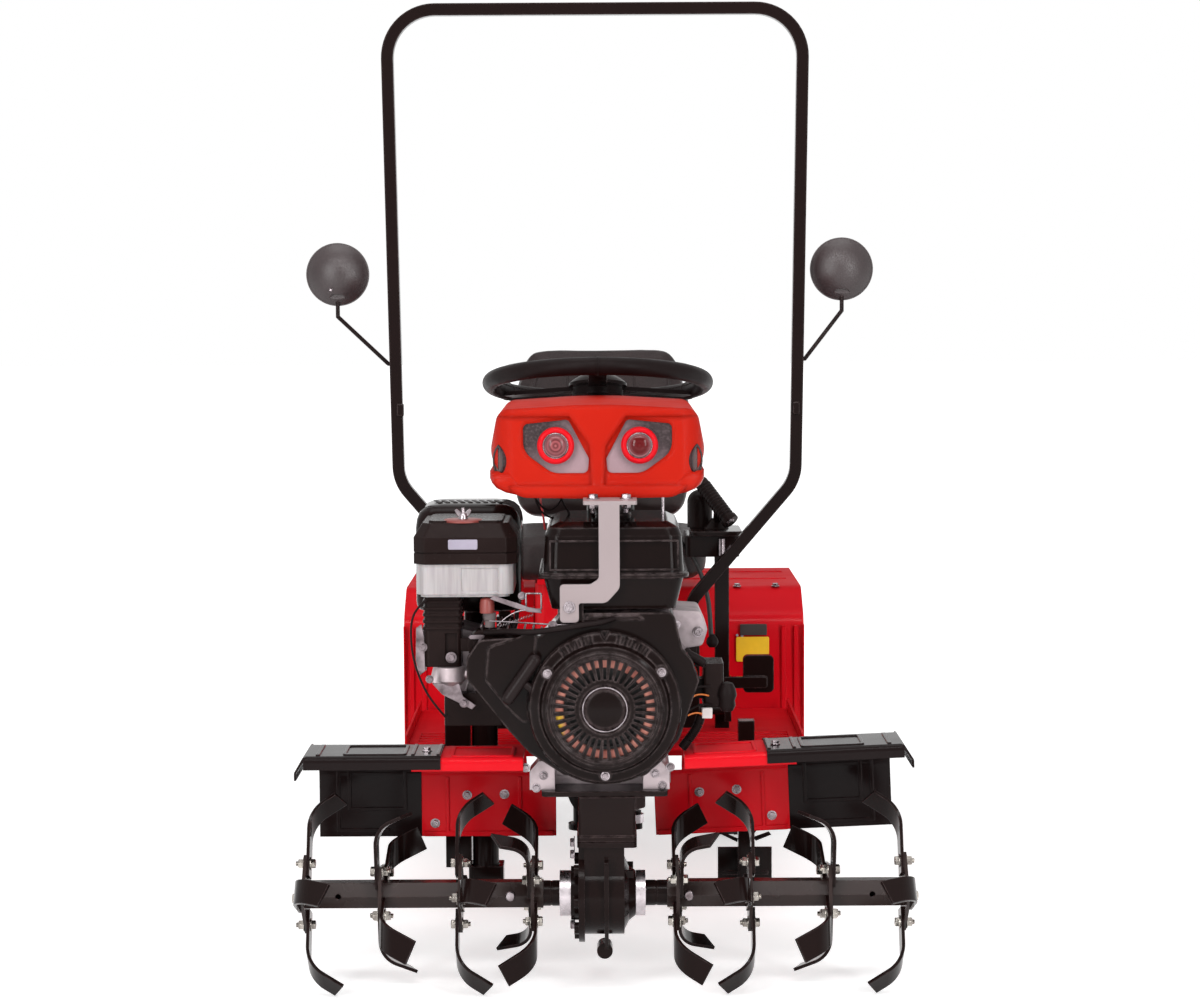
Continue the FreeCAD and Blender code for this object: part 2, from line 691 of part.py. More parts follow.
def air_cleaner_cover():
    """Moulded cover: lower wall, parting line, upper wall and a bevelled top with a raised pad."""
    z = CLEANER_Z + 50
    walls = [Part.Face(chamfered_plan(inset, z0)).extrude(V(0, 0, z1 - z0))
             for inset, z0, z1 in ((0, z, z + 16), (1.5, z + 16, z + 18), (0, z + 18, z + 40))]
    bevel = Part.makeLoft([chamfered_plan(0, z + 40), chamfered_plan(13, z + 61)], True, True)
    pad = Part.Face(chamfered_plan(22, z + 61)).extrude(V(0, 0, 3))
    return fuse(walls + [bevel, pad])


def air_cleaner_bowl():
    """Moulded bowl with shallow upright flutes on its front."""
    bowl = rounded_box(CLEANER_L + 4, CLEANER_R - 6, CLEANER_D0 + 4, CLEANER_D1 - 4,
                       CLEANER_Z, CLEANER_Z + 50, 18)
    x = (CLEANER_L + CLEANER_R) / 2
    flute = box(x - 6, x + 50, CLEANER_D0, CLEANER_D0 + 6, CLEANER_Z + 8, CLEANER_Z + 44)
    foot = rounded_box(CLEANER_L + 10, CLEANER_R - 12, CLEANER_D0 + 8, CLEANER_D1 - 8,
                       CLEANER_Z, CLEANER_Z + 4, 14)
    under = box(CLEANER_L, CLEANER_R, CLEANER_D0, CLEANER_D1, CLEANER_Z, CLEANER_Z + 4)
    return fuse([bowl.cut(flute).cut(under), foot])


nodes["air_cleaner_cover"] = air_cleaner_cover()
nodes["air_cleaner_bowl"] = air_cleaner_bowl()


def intake_body():
    """Ribbed intake elbow under the air cleaner, with a boxed recess and a fixing boss."""
    x0, x1, low = INTAKE_X - 30, INTAKE_X + 30, 501.0
    body = rounded_box(x0 + 2, x1 - 2, 2, 62, low, CLEANER_Z, 8)
    ribs = [rounded_box(x0, x1, -1, 62, z, z + 4, 8) for z in (558, 568, 578, 588, 598)]
    body = body.cut(box(INTAKE_X + 4, x1 - 8, 1, 8, low + 10, 552))
    boss = rod((INTAKE_X + 16, 0, 514), (INTAKE_X + 16, 20, 514), 9)
    return fuse([body, boss] + ribs)


def carburettor():
    """Float bowl with its drain, the flange to the intake and the throttle drum."""
    return fuse([
        rod((CARB_X, CARB_D, 480), (CARB_X, CARB_D, 501), 22),
        Part.makeCone(12, 22, 10, V(CARB_X, back(CARB_D), 470)),
        rod((CARB_X, CARB_D, 460), (CARB_X, CARB_D, 471), 7),
        rod((CARB_X, CARB_D, 490), (CARB_X + 27, CARB_D, 490), 7),
        box(INTAKE_X - 40, INTAKE_X - 26, 14, 30, 494, 556),
    ])


def throttle_drum():
    """Round choke and throttle housing beside the intake."""
    x, z = -182.0, 534.0
    return fuse([rod((x, -8, z), (x, 30, z), 24), rod((x, -14, z), (x, -8, z), 15),
                 box(x - 36, x, 6, 24, z - 10, z + 10)])


nodes["intake_body"] = intake_body().cut(nodes["cylinder_head"])
nodes["carburettor"] = carburettor().cut(nodes["intake_body"]).cut(nodes["cylinder_head"])
nodes["throttle_drum"] = throttle_drum().cut(
    [nodes["intake_body"], nodes["cylinder_head"], nodes["fan_housing"]])


def muffler_guard():
    """Rounded sheet cover of the exhaust with vents on top, and the pipe to it."""
    guard = rounded_box(-296, -129, 160, 328, 564, 735, 18)
    slots = [box(x, x + 9, 185, 305, 730, 738) for x in (-276.0 + 21.0 * i for i in range(7))]
    louvres = [box(-300, -294, 190, 300, z, z + 8) for z in (600.0 + 22.0 * i for i in range(5))]
    pipe = rod((-205, 150, 513), (-205, 205, 583), 16)
    return fuse([guard.cut(slots + louvres), pipe])


nodes["muffler_guard"] = muffler_guard().cut(nodes["cylinder_head"])
nodes["control_boxes"] = group([
    rounded_box(-243, -153, HOUSING_BACK, 34, 409, 459, 5).cut(nodes["cylinder_head"]),
    fuse([rounded_box(150, 181, 0, 70, 438, 504, 5), box(90, 150, 20, 50, 448, 478)]).cut(nodes["crankcase"]),
])


def lamp_bracket():
    """Flat bar up the front of the tank with a flange under the fairing."""
    d0, d1 = HOUSING_D - 11, HOUSING_D - 5
    limb = front_plate([(-7, FAIRING_LOW - 5), (-7, 642), (-20, 634), (-65, 634), (-65, 577), (-37, 577), (-37, 606),
                        (4, 606), (24, 628), (24, FAIRING_LOW - 5)], [0, 8, 8, 6, 6, 6, 4, 16, 16, 0], d0, d1)
    foot = box(-62, -40, d1, HOUSING_D, 580, 590)
    flange = rounded_box(-30, 50, d0, 34, FAIRING_LOW - 6, FAIRING_LOW, 5)
    return fuse([limb, foot, flange])


nodes["lamp_bracket"] = lamp_bracket().cut(nodes["fan_housing"])


# ---- fairing and lamps ---------------------------------------------------------------------
def fairing_block(inset, d0, d1):
    """Rounded body of the fairing, drawn in by a wall."""
    half, low, top = FAIRING_HALF - inset, FAIRING_LOW + inset, FAIRING_TOP - inset
    x = FAIRING_X
    front = front_plate(
        [(x - half + 42, low), (x, low - 2), (x + half - 42, low), (x + half, low + 62), (x + half - 14, top - 9),
         (x, top), (x - half + 14, top - 9), (x - half, low + 62)],
        [34, 900, 34, 40, 22, 900, 22, 40], d0, d1)
    bow = 46 - inset
    plan = plan_plate([(x - half, d0), (x, d0 - 6), (x + half, d0), (x + half - 6, d1), (x - half + 6, d1)],
                      [bow, 600, bow, 4, 4], low - 4, top + 8)
    return front.common(plan)


def about_fairing(shape):
    """The shape and its mirror image in the fairing's middle plane."""
    return [shape, shape.mirror(V(FAIRING_X, 0, 0), V(1, 0, 0))]


def lamp_window(grow, d0, d1):
    """Five-sided lamp opening with its inner corner cut back along the centre crease."""
    x, z = FAIRING_X, LAMP_Z
    outline = [(x - 112 - grow, z + 32 + grow), (x - 44 + grow / 2, z + 39 + grow), (x - 13 + grow, z - 20),
               (x - 15 + grow, z - 42 - grow), (x - 68, z - 42 - grow), (x - 112 - grow, z - 10)]
    return front_plate(outline, [8, 8, 8, 8, 30, 30], d0, d1)


def fairing():
    """Shell with a raised centre wedge between the lamp openings and a bulging lower lip."""
    x = FAIRING_X
    shell = fairing_block(0, 0, FAIRING_DEPTH).cut(fairing_block(FAIRING_WALL, 14, FAIRING_DEPTH + 1))
    lip = fairing_block(0, -8, 60).common(box(-400, 400, -60, 13, 0, FAIRING_LOW + LIP_HEIGHT))
    brow = fairing_block(0, -6, 60).common(box(-400, 400, -60, 13, FAIRING_TOP - 19, FAIRING_TOP + 9))
    wedge = front_plate([(x - 50, FAIRING_TOP - 8), (x - 12, LAMP_Z), (x - 9, FAIRING_LOW + 10),
                         (x + 9, FAIRING_LOW + 10), (x + 12, LAMP_Z), (x + 50, FAIRING_TOP - 8)],
                        [0, 14, 0, 0, 14, 0], -9, 4)
    shell = fuse([shell, lip, brow, wedge.common(fairing_block(0, -6, 60))])
    for window in about_fairing(lamp_window(0, -14, 16)):
        shell = shell.cut(window)
    return shell


def lamp_rod(d0, d1, radius):
    return rod((FAIRING_X - LAMP_X, d0, LAMP_Z), (FAIRING_X - LAMP_X, d1, LAMP_Z), radius)


def bezel():
    """Reflector plate with a stepped ring round the lens."""
    plate = lamp_window(0, 4, 12)
    ring = lamp_rod(-4, 12, RING_R).cut(lamp_rod(-5, -1, RING_R - 4))
    return fuse([plate, ring.common(lamp_window(0, -14, 16))]).cut(lamp_rod(-8, 8, LENS_R))


def lens():
    dome = Part.makeSphere(30, V(FAIRING_X - LAMP_X, back(20), LAMP_Z))
    return lamp_rod(-10, 8, LENS_R).common(dome)


def leaf(height, half_width, depth):
    """Pointed oval about the Y axis."""
    radius = (height * height / 4 + half_width * half_width) / (2 * half_width)
    offset = radius - half_width
    bars = [Part.makeCylinder(radius, depth, V(x, 0, 0), V(0, 1, 0)) for x in (-offset, offset)]
    return bars[0].common(bars[1])


def on_corner(shape, lift):
    """Carries a shape onto the rounded front corner of the fairing."""
    shape.translate(V(0, -lift, 0))
    shape.rotate(V(0, 0, 0), V(0, 0, 1), -52)
    shape.translate(V(FAIRING_X - FAIRING_HALF + 17, back(13), 812))
    return shape


nodes["fairing"] = fairing()
nodes["lamp_bracket"] = nodes["lamp_bracket"].cut(nodes["fairing"])
solid_fairing = fairing_block(0, 0, FAIRING_DEPTH)
indicator_rim = on_corner(leaf(50, 14, 16), 4).cut(on_corner(leaf(42, 10.5, 20), 6)).cut(solid_fairing)
indicator = on_corner(leaf(42, 10.5, 16), 3).cut(solid_fairing)
nodes["lamp_bezels"] = group(about_fairing(bezel()) + about_fairing(indicator_rim))
nodes["lamp_lenses"] = group(about_fairing(lens()))
nodes["indicator_lamps"] = group(about_fairing(indicator))


# ---- steering -------------------------------------------------------------------------------
TILT = math.radians(COLUMN_TILT)


def on_column(z):
    """Depth of the column axis at a height."""
    return STEER_D + (z - STEER_Z) * math.tan(TILT)


def about_column(shape):
    """Carries a shape made about +Z at the origin to the steering wheel's centre."""
    placed = shape.copy()
    placed.rotate(V(0, 0, 0), V(1, 0, 0), -COLUMN_TILT)
    placed.translate(V(STEER_X, back(STEER_D), STEER_Z))
    return placed


def steering_rim():
    return Part.makeTorus(STEER_RING_R, STEER_TUBE_R)


def steering_spokes():
    """Three flat spokes, hub with a domed button, and the stem in the column."""
    hub = Part.makeCylinder(HUB_R - 6, 24, V(0, 0, -22))
    dome = Part.makeSphere(70, V(0, 0, -52)).common(Part.makeCylinder(HUB_R, 40, V(0, 0, -6)))
    stem = Part.makeCylinder(STEM_R, STEM_DOWN - 22, V(0, 0, -STEM_DOWN))
    shapes = [hub, dome, stem]
    for angle in (25, 155, 270):
        spoke = Part.makeBox(STEER_RING_R - 30, 30, 7, V(30, -15, -12))
        spoke = spoke.cut(Part.makeBox(STEER_RING_R - 90, 10, 3, V(60, -5, -8)))
        spoke.rotate(V(0, 0, 0), V(0, 0, 1), angle)
        shapes.append(spoke)
    return fuse(shapes).cut(steering_rim())


nodes["steering_rim"] = about_column(steering_rim())
nodes["steering_spokes"] = about_column(steering_spokes())


def steering_column():
    """Tilted tube up to the wheel, held by the panel behind the fairing."""
    length = (STEER_Z - BOX_TOP) / math.cos(TILT)
    tube = Part.makeCylinder(TUBE_R, length - COLUMN_GAP, V(0, 0, -length))
    bore = Part.makeCylinder(STEM_R + SLIDE_FIT, STEM_DOWN - COLUMN_GAP + 2, V(0, 0, -STEM_DOWN - 2))
    tube = tube.cut(bore)
    tube = about_column(tube).cut(box(-80, 80, 200, 500, BOX_TOP - 30, BOX_TOP))
    dash = fairing_block(FAIRING_WALL, 14, FAIRING_DEPTH).common(
        box(-400, 400, FAIRING_DEPTH - 6, FAIRING_DEPTH, 700, 1000))
    arm_z = FAIRING_LOW + 40
    arm = box(STEER_X - 22, STEER_X + 22, FAIRING_DEPTH - 1, on_column(arm_z + 10), arm_z, arm_z + 22)
    arm = arm.cut(about_column(Part.makeCylinder(TUBE_R - 2, length - COLUMN_GAP, V(0, 0, -length))))
    return fuse([tube, dash, arm])


box_body = rounded_box(PITMAN_X - 34, 44, PITMAN_D - 44, PITMAN_D + 44, BOX_Z, BOX_TOP, 14)
nodes["steering_column"] = fuse([steering_column(), box_body]).cut(
    rod((PITMAN_X, PITMAN_D, BOX_Z - 1), (PITMAN_X, PITMAN_D, BOX_Z + 40), KINGPIN_R + SLIDE_FIT))


def lever(x, d, dx, dd, shaft_r):
    """Flat arm from an eye at (x, d) to a pin at (x + dx, d + dd)."""
    top = ARM_Z + ARM_THICK
    cap_z = top + 2 * WASHER_GAP + LINK_THICK
    eye = rod((x, d, ARM_Z), (x, d, top), shaft_r + 8)
    end = rod((x + dx, d + dd, ARM_Z), (x + dx, d + dd, top), 12)
    bar = Part.makeBox(math.hypot(dx, dd), 20, ARM_THICK, V(0, -10, 0))
    bar.rotate(V(0, 0, 0), V(0, 0, 1), math.degrees(math.atan2(dd, dx)))
    bar.translate(V(x, back(d), ARM_Z))
    pin = rod((x + dx, d + dd, top), (x + dx, d + dd, cap_z), LINK_PIN_R)
    cap = rod((x + dx, d + dd, cap_z), (x + dx, d + dd, cap_z + 5), 10)
    return [eye, end, bar, pin, cap]


nodes["pitman_arm"] = fuse(
    [rod((PITMAN_X, PITMAN_D, ARM_Z), (PITMAN_X, PITMAN_D, BOX_Z + 38), KINGPIN_R)]
    + lever(PITMAN_X, PITMAN_D, STEER_ARM, 0, KINGPIN_R))


def link(start, end):
    """Rod with an eye at each end; the second eye has more room round its pin."""
    z0 = ARM_Z + ARM_THICK + WASHER_GAP
    z1 = z0 + LINK_THICK
    mid = (z0 + z1) / 2
    shapes = [rod((p[0], p[1], z0), (p[0], p[1], z1), 14) for p in (start, end)]
    shapes.append(rod((start[0], start[1], mid), (end[0], end[1], mid), 7))
    body = fuse(shapes)
    body = body.cut(rod((start[0], start[1], z0 - 1), (start[0], start[1], z1 + 1), LINK_PIN_R + SLIDE_FIT))
    return body.cut(rod((end[0], end[1], z0 - 1), (end[0], end[1], z1 + 1), LINK_PIN_R + OPEN_PIVOT))


nodes["drag_link"] = link((PITMAN_X + STEER_ARM, PITMAN_D), (-KINGPIN_X + STEER_ARM, AXLE_D))
nodes["tie_rod"] = link((-KINGPIN_X, AXLE_D + TRACK_ARM), (KINGPIN_X, AXLE_D + TRACK_ARM))


# ---- wheels -----------------------------------------------------------------------------------
def knuckle(side):
    """Steering knuckle: kingpin, stub axle and its arms."""
    x = side * KINGPIN_X
    low = SLEEVE_LOW - WASHER_GAP
    end = side * (WHEEL_X + 52)
    shapes = [
        rod((x, AXLE_D, ARM_Z), (x, AXLE_D, low), 24),
        rod((x, AXLE_D, low), (x, AXLE_D, RAIL_Z + 14), KINGPIN_R),
        rod((x, AXLE_D, RAIL_Z + WASHER_GAP), (x, AXLE_D, RAIL_Z + 12), 20),
        rod((x, AXLE_D, TYRE_R), (end, AXLE_D, TYRE_R), STUB_R),
        rod((x, AXLE_D, TYRE_R), (side * (WHEEL_X - 41), AXLE_D, TYRE_R), 18),
        rod((side * (WHEEL_X + 40 + WASHER_GAP), AXLE_D, TYRE_R), (end, AXLE_D, TYRE_R), 19),
    ]
    shapes += lever(x, AXLE_D, 0, TRACK_ARM, KINGPIN_R)
    if side < 0:
        shapes += lever(x, AXLE_D, STEER_ARM, 0, KINGPIN_R)
    return fuse(shapes)


def carcass():
    """Tyre body in flat steps, from bead to bead."""
    half = TYRE_WIDTH / 2
    base = TYRE_R - LUG_HEIGHT
    profile = [(-RIM_HALF, RIM_R + 3), (-half + 3, RIM_R + 30), (-half, base - 28), (-half + 7, base - 7),
               (-half + 24, base), (half - 24, base), (half - 7, base - 7), (half, base - 28),
               (half - 3, RIM_R + 30), (RIM_HALF, RIM_R + 3)]
    faces = []
    rings = []
    for x, r in profile:
        turns = [2 * math.pi * i / TYRE_SIDES for i in range(TYRE_SIDES)]
        rings.append([V(x, r * math.sin(turn), r * math.cos(turn)) for turn in turns])
    for a, b in zip(rings, rings[1:]):
        for i in range(TYRE_SIDES):
            faces.append(Part.Face(Part.makePolygon([a[i - 1], a[i], b[i], b[i - 1], a[i - 1]])))
    for ring in (rings[0], rings[-1]):
        faces.append(Part.Face(Part.makePolygon(ring + ring[:1])))
    body = Part.makeSolid(Part.makeShell(faces))
    if body.Volume < 0:
        body.reverse()
    return body.cut(Part.makeCylinder(RIM_R, TYRE_WIDTH, V(-TYRE_WIDTH / 2, 0, 0), V(1, 0, 0)))


def lug():
    """One slanted tread bar, from the middle of the tread over the shoulder."""
    half = TYRE_WIDTH / 2
    low = TYRE_R - LUG_HEIGHT - 14
    reach, width = 19.0, 14.0
    top = math.sqrt(TYRE_R ** 2 - reach ** 2)
    crown = [V(-4, -reach, low), V(-4, width - reach, low), V(half, reach, low), V(half, reach - width, low)]
    bar = Part.Face(Part.makePolygon(crown + crown[:1])).extrude(V(0, 0, top - low))
    shoulder = [V(half - 16, -40, top + 1), V(half + 1, -40, top + 1), V(half + 1, -40, top - 21)]
    wedge = Part.Face(Part.makePolygon(shoulder + shoulder[:1])).extrude(V(0, 80, 0))
    return bar.cut(wedge)


def tyre():
    """Farm tyre about the X axis with two rows of slanted lugs."""
    pitch = 360.0 / LUGS
    bars = []
    for i in range(LUGS):
        for side, phase in ((1, 0.0), (-1, 0.5)):
            bar = lug() if side > 0 else mirror_x(lug())
            bar.rotate(V(0, 0, 0), V(1, 0, 0), pitch * (i + phase))
            bars.append(bar)
    return carcass().fuse(bars)


def wheel_rim():
    """Pressed rim with a dished disc and its hub."""
    profile = [(STUB_R + SLIDE_FIT, -40), (30, -40), (30, -12), (92, -12), (92, -RIM_HALF - 2),
               (RIM_R - 1, -RIM_HALF - 2),
               (RIM_R, -RIM_HALF), (RIM_R, RIM_HALF), (RIM_R - 1, RIM_HALF + 2), (94, RIM_HALF + 2),
               (94, -8), (30, -8),
               (30, 40), (STUB_R + SLIDE_FIT, 40)]
    points = [V(x, 0, r) for r, x in profile]
    rim = Part.Face(Part.makePolygon(points + points[:1])).revolve(V(0, 0, 0), V(1, 0, 0), 360)
    holes = []
    for i in range(4):
        a = math.pi / 4 + math.pi / 2 * i
        holes.append(Part.makeCylinder(13, 20, V(-20, 62 * math.sin(a), 62 * math.cos(a)), V(1, 0, 0)))
    return rim.cut(holes)


wheel_parts = (("rim_", wheel_rim()), ("tyre_", tyre()))
for side, name in ((-1, "left"), (1, "right")):
    nodes["knuckle_" + name] = knuckle(side)
    for piece, shape in wheel_parts:
        placed = shape.copy() if side > 0 else mirror_x(shape)
        placed.translate(V(side * WHEEL_X, back(AXLE_D), TYRE_R))
        nodes[piece + name] = placed


# ---- frame ------------------------------------------------------------------------------------
def rear_axle():
    """Cross beam under the rails with a kingpin sleeve at each end."""
    half = AXLE_BEAM / 2
    shapes = [box(-KINGPIN_X, KINGPIN_X, AXLE_D - half, AXLE_D + half, RAIL_Z - AXLE_BEAM, RAIL_Z)]
    bores = []
    for side in (-1, 1):
        x = side * KINGPIN_X
        shapes.append(rod((x, AXLE_D, SLEEVE_LOW), (x, AXLE_D, RAIL_Z), SLEEVE_R))
        bores.append(rod((x, AXLE_D, SLEEVE_LOW - 1), (x, AXLE_D, RAIL_Z + 1), KINGPIN_R + SLIDE_FIT))
    return fuse(shapes).cut(bores)


nodes["rear_axle"] = rear_axle()


def main_frame():
    """Two rails with cross bars, engine bearers, posts for the hoop and the bar of the guards."""
    low, top = RAIL_Z, RAIL_Z + RAIL_H
    shapes = []
    for side in (-1, 1):
        x0, x1 = sorted((side * (RAIL_X - RAIL_W / 2), side * (RAIL_X + RAIL_W / 2)))
        shapes.append(box(x0, x1, RAIL_FRONT, RAIL_REAR, low, top))
        b0, b1 = sorted((side * (BEARER_X - BEARER_W / 2), side * (BEARER_X + BEARER_W / 2)))
        shapes.append(box(b0, b1, 60, RAIL_FRONT + 60, MOUNT_Z - BEARER_H, MOUNT_Z))
        post = HOOP_X + side * POST_X
        shapes.append(box(post - 15, post + 15, POST_D, POST_D + 30, top - 10, POST_TOP))
    shapes.append(box(-RAIL_X, RAIL_X, RAIL_REAR - 40, RAIL_REAR - 10, low + 10, top - 10))
    shapes.append(box(HOOP_X - POST_X - 15, HOOP_X + POST_X + 15, POST_D, POST_D + 30, low + 10, top - 10))
    tray = box(-RAIL_X + RAIL_W / 2, RAIL_X - RAIL_W / 2, PITMAN_D - 34, PITMAN_D + 50, top - 8, top)
    shapes.append(tray.cut(rod((PITMAN_X, PITMAN_D, low), (PITMAN_X, PITMAN_D, top + 1), KINGPIN_R + 1)))
    shapes.append(box(-GUARD_BAR, GUARD_BAR, GUARD_BACK, GUARD_BACK + 40, MOUNT_Z - 38, MOUNT_Z - BEARER_H))
    return fuse(shapes)


nodes["main_frame"] = main_frame().cut(nodes["drive_gearbox"])
nodes["rear_hitch"] = fuse([
    plan_plate([(-60, RAIL_REAR), (60, RAIL_REAR), (22, HITCH_D + 24), (-22, HITCH_D + 24)], [0, 0, 18, 18],
               HITCH_Z, HITCH_Z + 12),
    box(-100, 100, RAIL_REAR, RAIL_REAR + 8, RAIL_Z, RAIL_Z + RAIL_H),
]).cut(rod((0, HITCH_D, HITCH_Z - 1), (0, HITCH_D, HITCH_Z + 13), HITCH_R))


# ---- hoop and mirrors ---------------------------------------------------------------------------
def hoop():
    """Tall bent hoop; its legs turn in below and stand on the frame's posts."""
    half = HOOP_TUBE / 2
    x = HOOP_X
    path = [(x - POST_X, 448), (x - POST_X, HOOP_FOOT_Z), (x - HOOP_LOW_HALF, HOOP_LOW_Z),
            (x - HOOP_HALF, HOOP_TOP), (x + HOOP_HALF, HOOP_TOP), (x + HOOP_LOW_HALF, HOOP_LOW_Z),
            (x + POST_X, HOOP_FOOT_Z), (x + POST_X, 448)]
    inner, outer = [], []
    for shift, line in ((half, inner), (-half, outer)):
        outline, _ = bent_strip(path, [0] * len(path), shift)
        line.extend(outline[len(path):][::-1])
    bends = [0, 40, 70, HOOP_BEND_R, HOOP_BEND_R, 70, 40, 0]
    signs = [0, -1, 1, 1, 1, 1, -1, 0]
    outer_r = [b + half * s for b, s in zip(bends, signs)]
    inner_r = [b - half * s for b, s in zip(bends, signs)]
    return front_plate(outer + inner[::-1], outer_r + inner_r[::-1], HOOP_D - half, HOOP_D + half)


def hoop_leg_x(z):
    """Distance of a leg's middle from the hoop's own middle at a height."""
    return HOOP_LOW_HALF + (z - HOOP_LOW_Z) / (HOOP_TOP - HOOP_LOW_Z) * (HOOP_HALF - HOOP_LOW_HALF)


nodes["hoop"] = hoop()


def mirror_arm(side, z_foot, x_top, z_mirror, z_knee):
    """Thin bent rod from a clamp on the hoop up into the mirror."""
    x = HOOP_X + side * hoop_leg_x(z_foot)
    rod_d = HOOP_D + 16
    foot = (x, rod_d, z_foot)
    turn = (x + side * 14, rod_d, z_foot)
    knee = (x_top, HOOP_D + 10, z_knee)
    joints = [Part.makeSphere(MIRROR_ROD, V(p[0], back(p[1]), p[2])) for p in (turn, knee)]
    clamp = rod((x, HOOP_D + HOOP_TUBE / 2, z_foot), (x, HOOP_D + 22, z_foot), 9)
    rods = [rod(foot, turn, MIRROR_ROD), rod(turn, knee, MIRROR_ROD),
            rod(knee, (x_top, HOOP_D + 10, z_mirror - 30), MIRROR_ROD)]
    return fuse([clamp] + joints + rods)


def mirror_shell(x, z):
    """Domed back of a round mirror with its rim and the pocket for the rod."""
    d = HOOP_D + 10
    ball = Part.makeSphere(MIRROR_R + 12, V(x, back(d + 44), z))
    dome = ball.common(rod((x, d - 40, z), (x, d + 8, z), MIRROR_R - 1.5))
    rim = rod((x, d + 4, z), (x, d + 12, z), MIRROR_R)
    pocket = front_plate([(x - 15, z - MIRROR_R - 4), (x + 15, z - MIRROR_R - 4), (x + 12, z - MIRROR_R + 20),
                          (x - 12, z - MIRROR_R + 20)], [0, 0, 8, 8], d - 40, d - 6)
    return fuse([dome, rim]).cut(pocket)


shells, arms, glasses = [], [], []
for side, z_foot, x_top, z_mirror, z_knee in MIRRORS:
    shell = mirror_shell(x_top, z_mirror)
    arm = mirror_arm(side, z_foot, x_top, z_mirror, z_knee)
    shells.append(shell)
    arms.append(arm.cut(shell).cut(nodes["hoop"]))
    glasses.append(rod((x_top, HOOP_D + 22, z_mirror), (x_top, HOOP_D + 24, z_mirror), MIRROR_R - 4))
nodes["mirror_shells"] = group(shells)
nodes["mirror_arms"] = group(arms)
nodes["mirror_glasses"] = group(glasses)


# ---- guards over the tines ----------------------------------------------------------------------
def guard_strip(drop, low):
    """Side outline of a guard: front lip, flat top, slope and hanging back panel."""
    top = GUARD_TOP - drop
    path = [(GUARD_FRONT + drop, top - GUARD_LIP), (GUARD_FRONT + drop, top), (GUARD_CREST, top),
            (GUARD_BACK, top - 56), (GUARD_BACK, low)]
    return bent_strip(path, [0, 9, 60, 24, 0], GUARD_T)


def top_frame(x0, x1, drop):
    """Pressed rectangular bead on the flat top."""
    z = GUARD_TOP - drop
    outer = plan_plate(rectangle(x0, x1, GUARD_FRONT + 14, GUARD_CREST - 24), 8, z - 1, z + 2)
    return outer.cut(plan_plate(rectangle(x0 + 5, x1 - 5, GUARD_FRONT + 19, GUARD_CREST - 29), 5, z - 2, z + 3))


def panel_rib(x0, x1, z0, z1):
    """Rib pressed forward out of the back panel."""
    face = GUARD_BACK - GUARD_T
    return box(x0, x1, face - 2, face + 1, z0, z1)


def guard_centre():
    """Red inner part, left-hand side: two creases down its panel and a bead on top."""
    outline, radii = guard_strip(3.2, GUARD_LOW)
    shapes = [side_plate(outline, radii, -GUARD_SPLIT, -GUARD_IN), top_frame(-232, -136, 3.2)]
    shapes += [panel_rib(x - 2.5, x + 2.5, GUARD_LOW + 6, 300) for x in (-249, -134)]
    shapes.append(panel_rib(-GUARD_SPLIT + 4, -GUARD_IN - 4, GUARD_LOW, GUARD_LOW + 8))
    relief = box(-122, -70, GUARD_FRONT - 10, GUARD_BACK + 10, MOUNT_Z - 2, GUARD_TOP + 10)
    return fuse(shapes).cut(relief)


def guard_wing():
    """Black outer part, left-hand side: it laps over the red top and droops at its end."""
    outline, radii = guard_strip(0, GUARD_LOW)
    wing = side_plate(outline, radii, -GUARD_END + 10, -GUARD_SPLIT)
    lap = side_plate(outline, radii, -GUARD_SPLIT - 1, -GUARD_LAP)
    lap = lap.common(box(-GUARD_SPLIT - 1, -GUARD_LAP, GUARD_FRONT - 1, GUARD_CREST + 20,
                         GUARD_TOP - 40, GUARD_TOP))
    end = -GUARD_END + 10
    droop = front_plate([(end + 3, GUARD_TOP), (end, GUARD_TOP), (end - 14, GUARD_TOP - 24), (end - 14, GUARD_TOP - 36),
                         (end - 11, GUARD_TOP - 36), (end - 11, GUARD_TOP - 25), (end + 3, GUARD_TOP - 4)],
                        [0, 3, 6, 0, 0, 6, 0], GUARD_FRONT + 1, GUARD_CREST)
    shapes = [wing, lap, droop, top_frame(-394, -298, 0), box(-434, -428, GUARD_FRONT + 12, GUARD_CREST - 20,
                                                             GUARD_TOP - 1, GUARD_TOP + 2)]
    bands = [box(x - 2.5, x + 2.5, GUARD_FRONT + 12, GUARD_CREST - 20, GUARD_TOP - 1, GUARD_TOP + 2)
             for x in (-GUARD_SPLIT + 2, -GUARD_LAP - 4)]
    outer_low, inner_low = GUARD_LOW + 8, GUARD_LOW + 42
    beads = [panel_rib(x - 2.5, x + 2.5, low, 310)
             for x, low in ((-422, outer_low), (-404, inner_low), (-316, inner_low))]
    beads += [panel_rib(-424.5, -342, outer_low, outer_low + 5),
              panel_rib(-406.5, -313.5, inner_low, inner_low + 5)]
    return fuse(shapes + bands + beads)


def tilted(shape):
    """Right-hand copy, raised towards its outer end."""
    copy = mirror_x(shape)
    copy.rotate(V(GUARD_IN, back(GUARD_BACK), MOUNT_Z), V(0, 1, 0), -GUARD_TILT)
    return copy


centre = guard_centre()
wing = guard_wing()
carriers = nodes["main_frame"].fuse([nodes["engine_mount"], nodes["crankcase"]])
nodes["guard_centre"] = group([centre.cut(carriers), tilted(centre).cut(carriers)])
nodes["guard_wings"] = group([wing.cut(centre).cut(carriers), tilted(wing.cut(centre)).cut(carriers)])


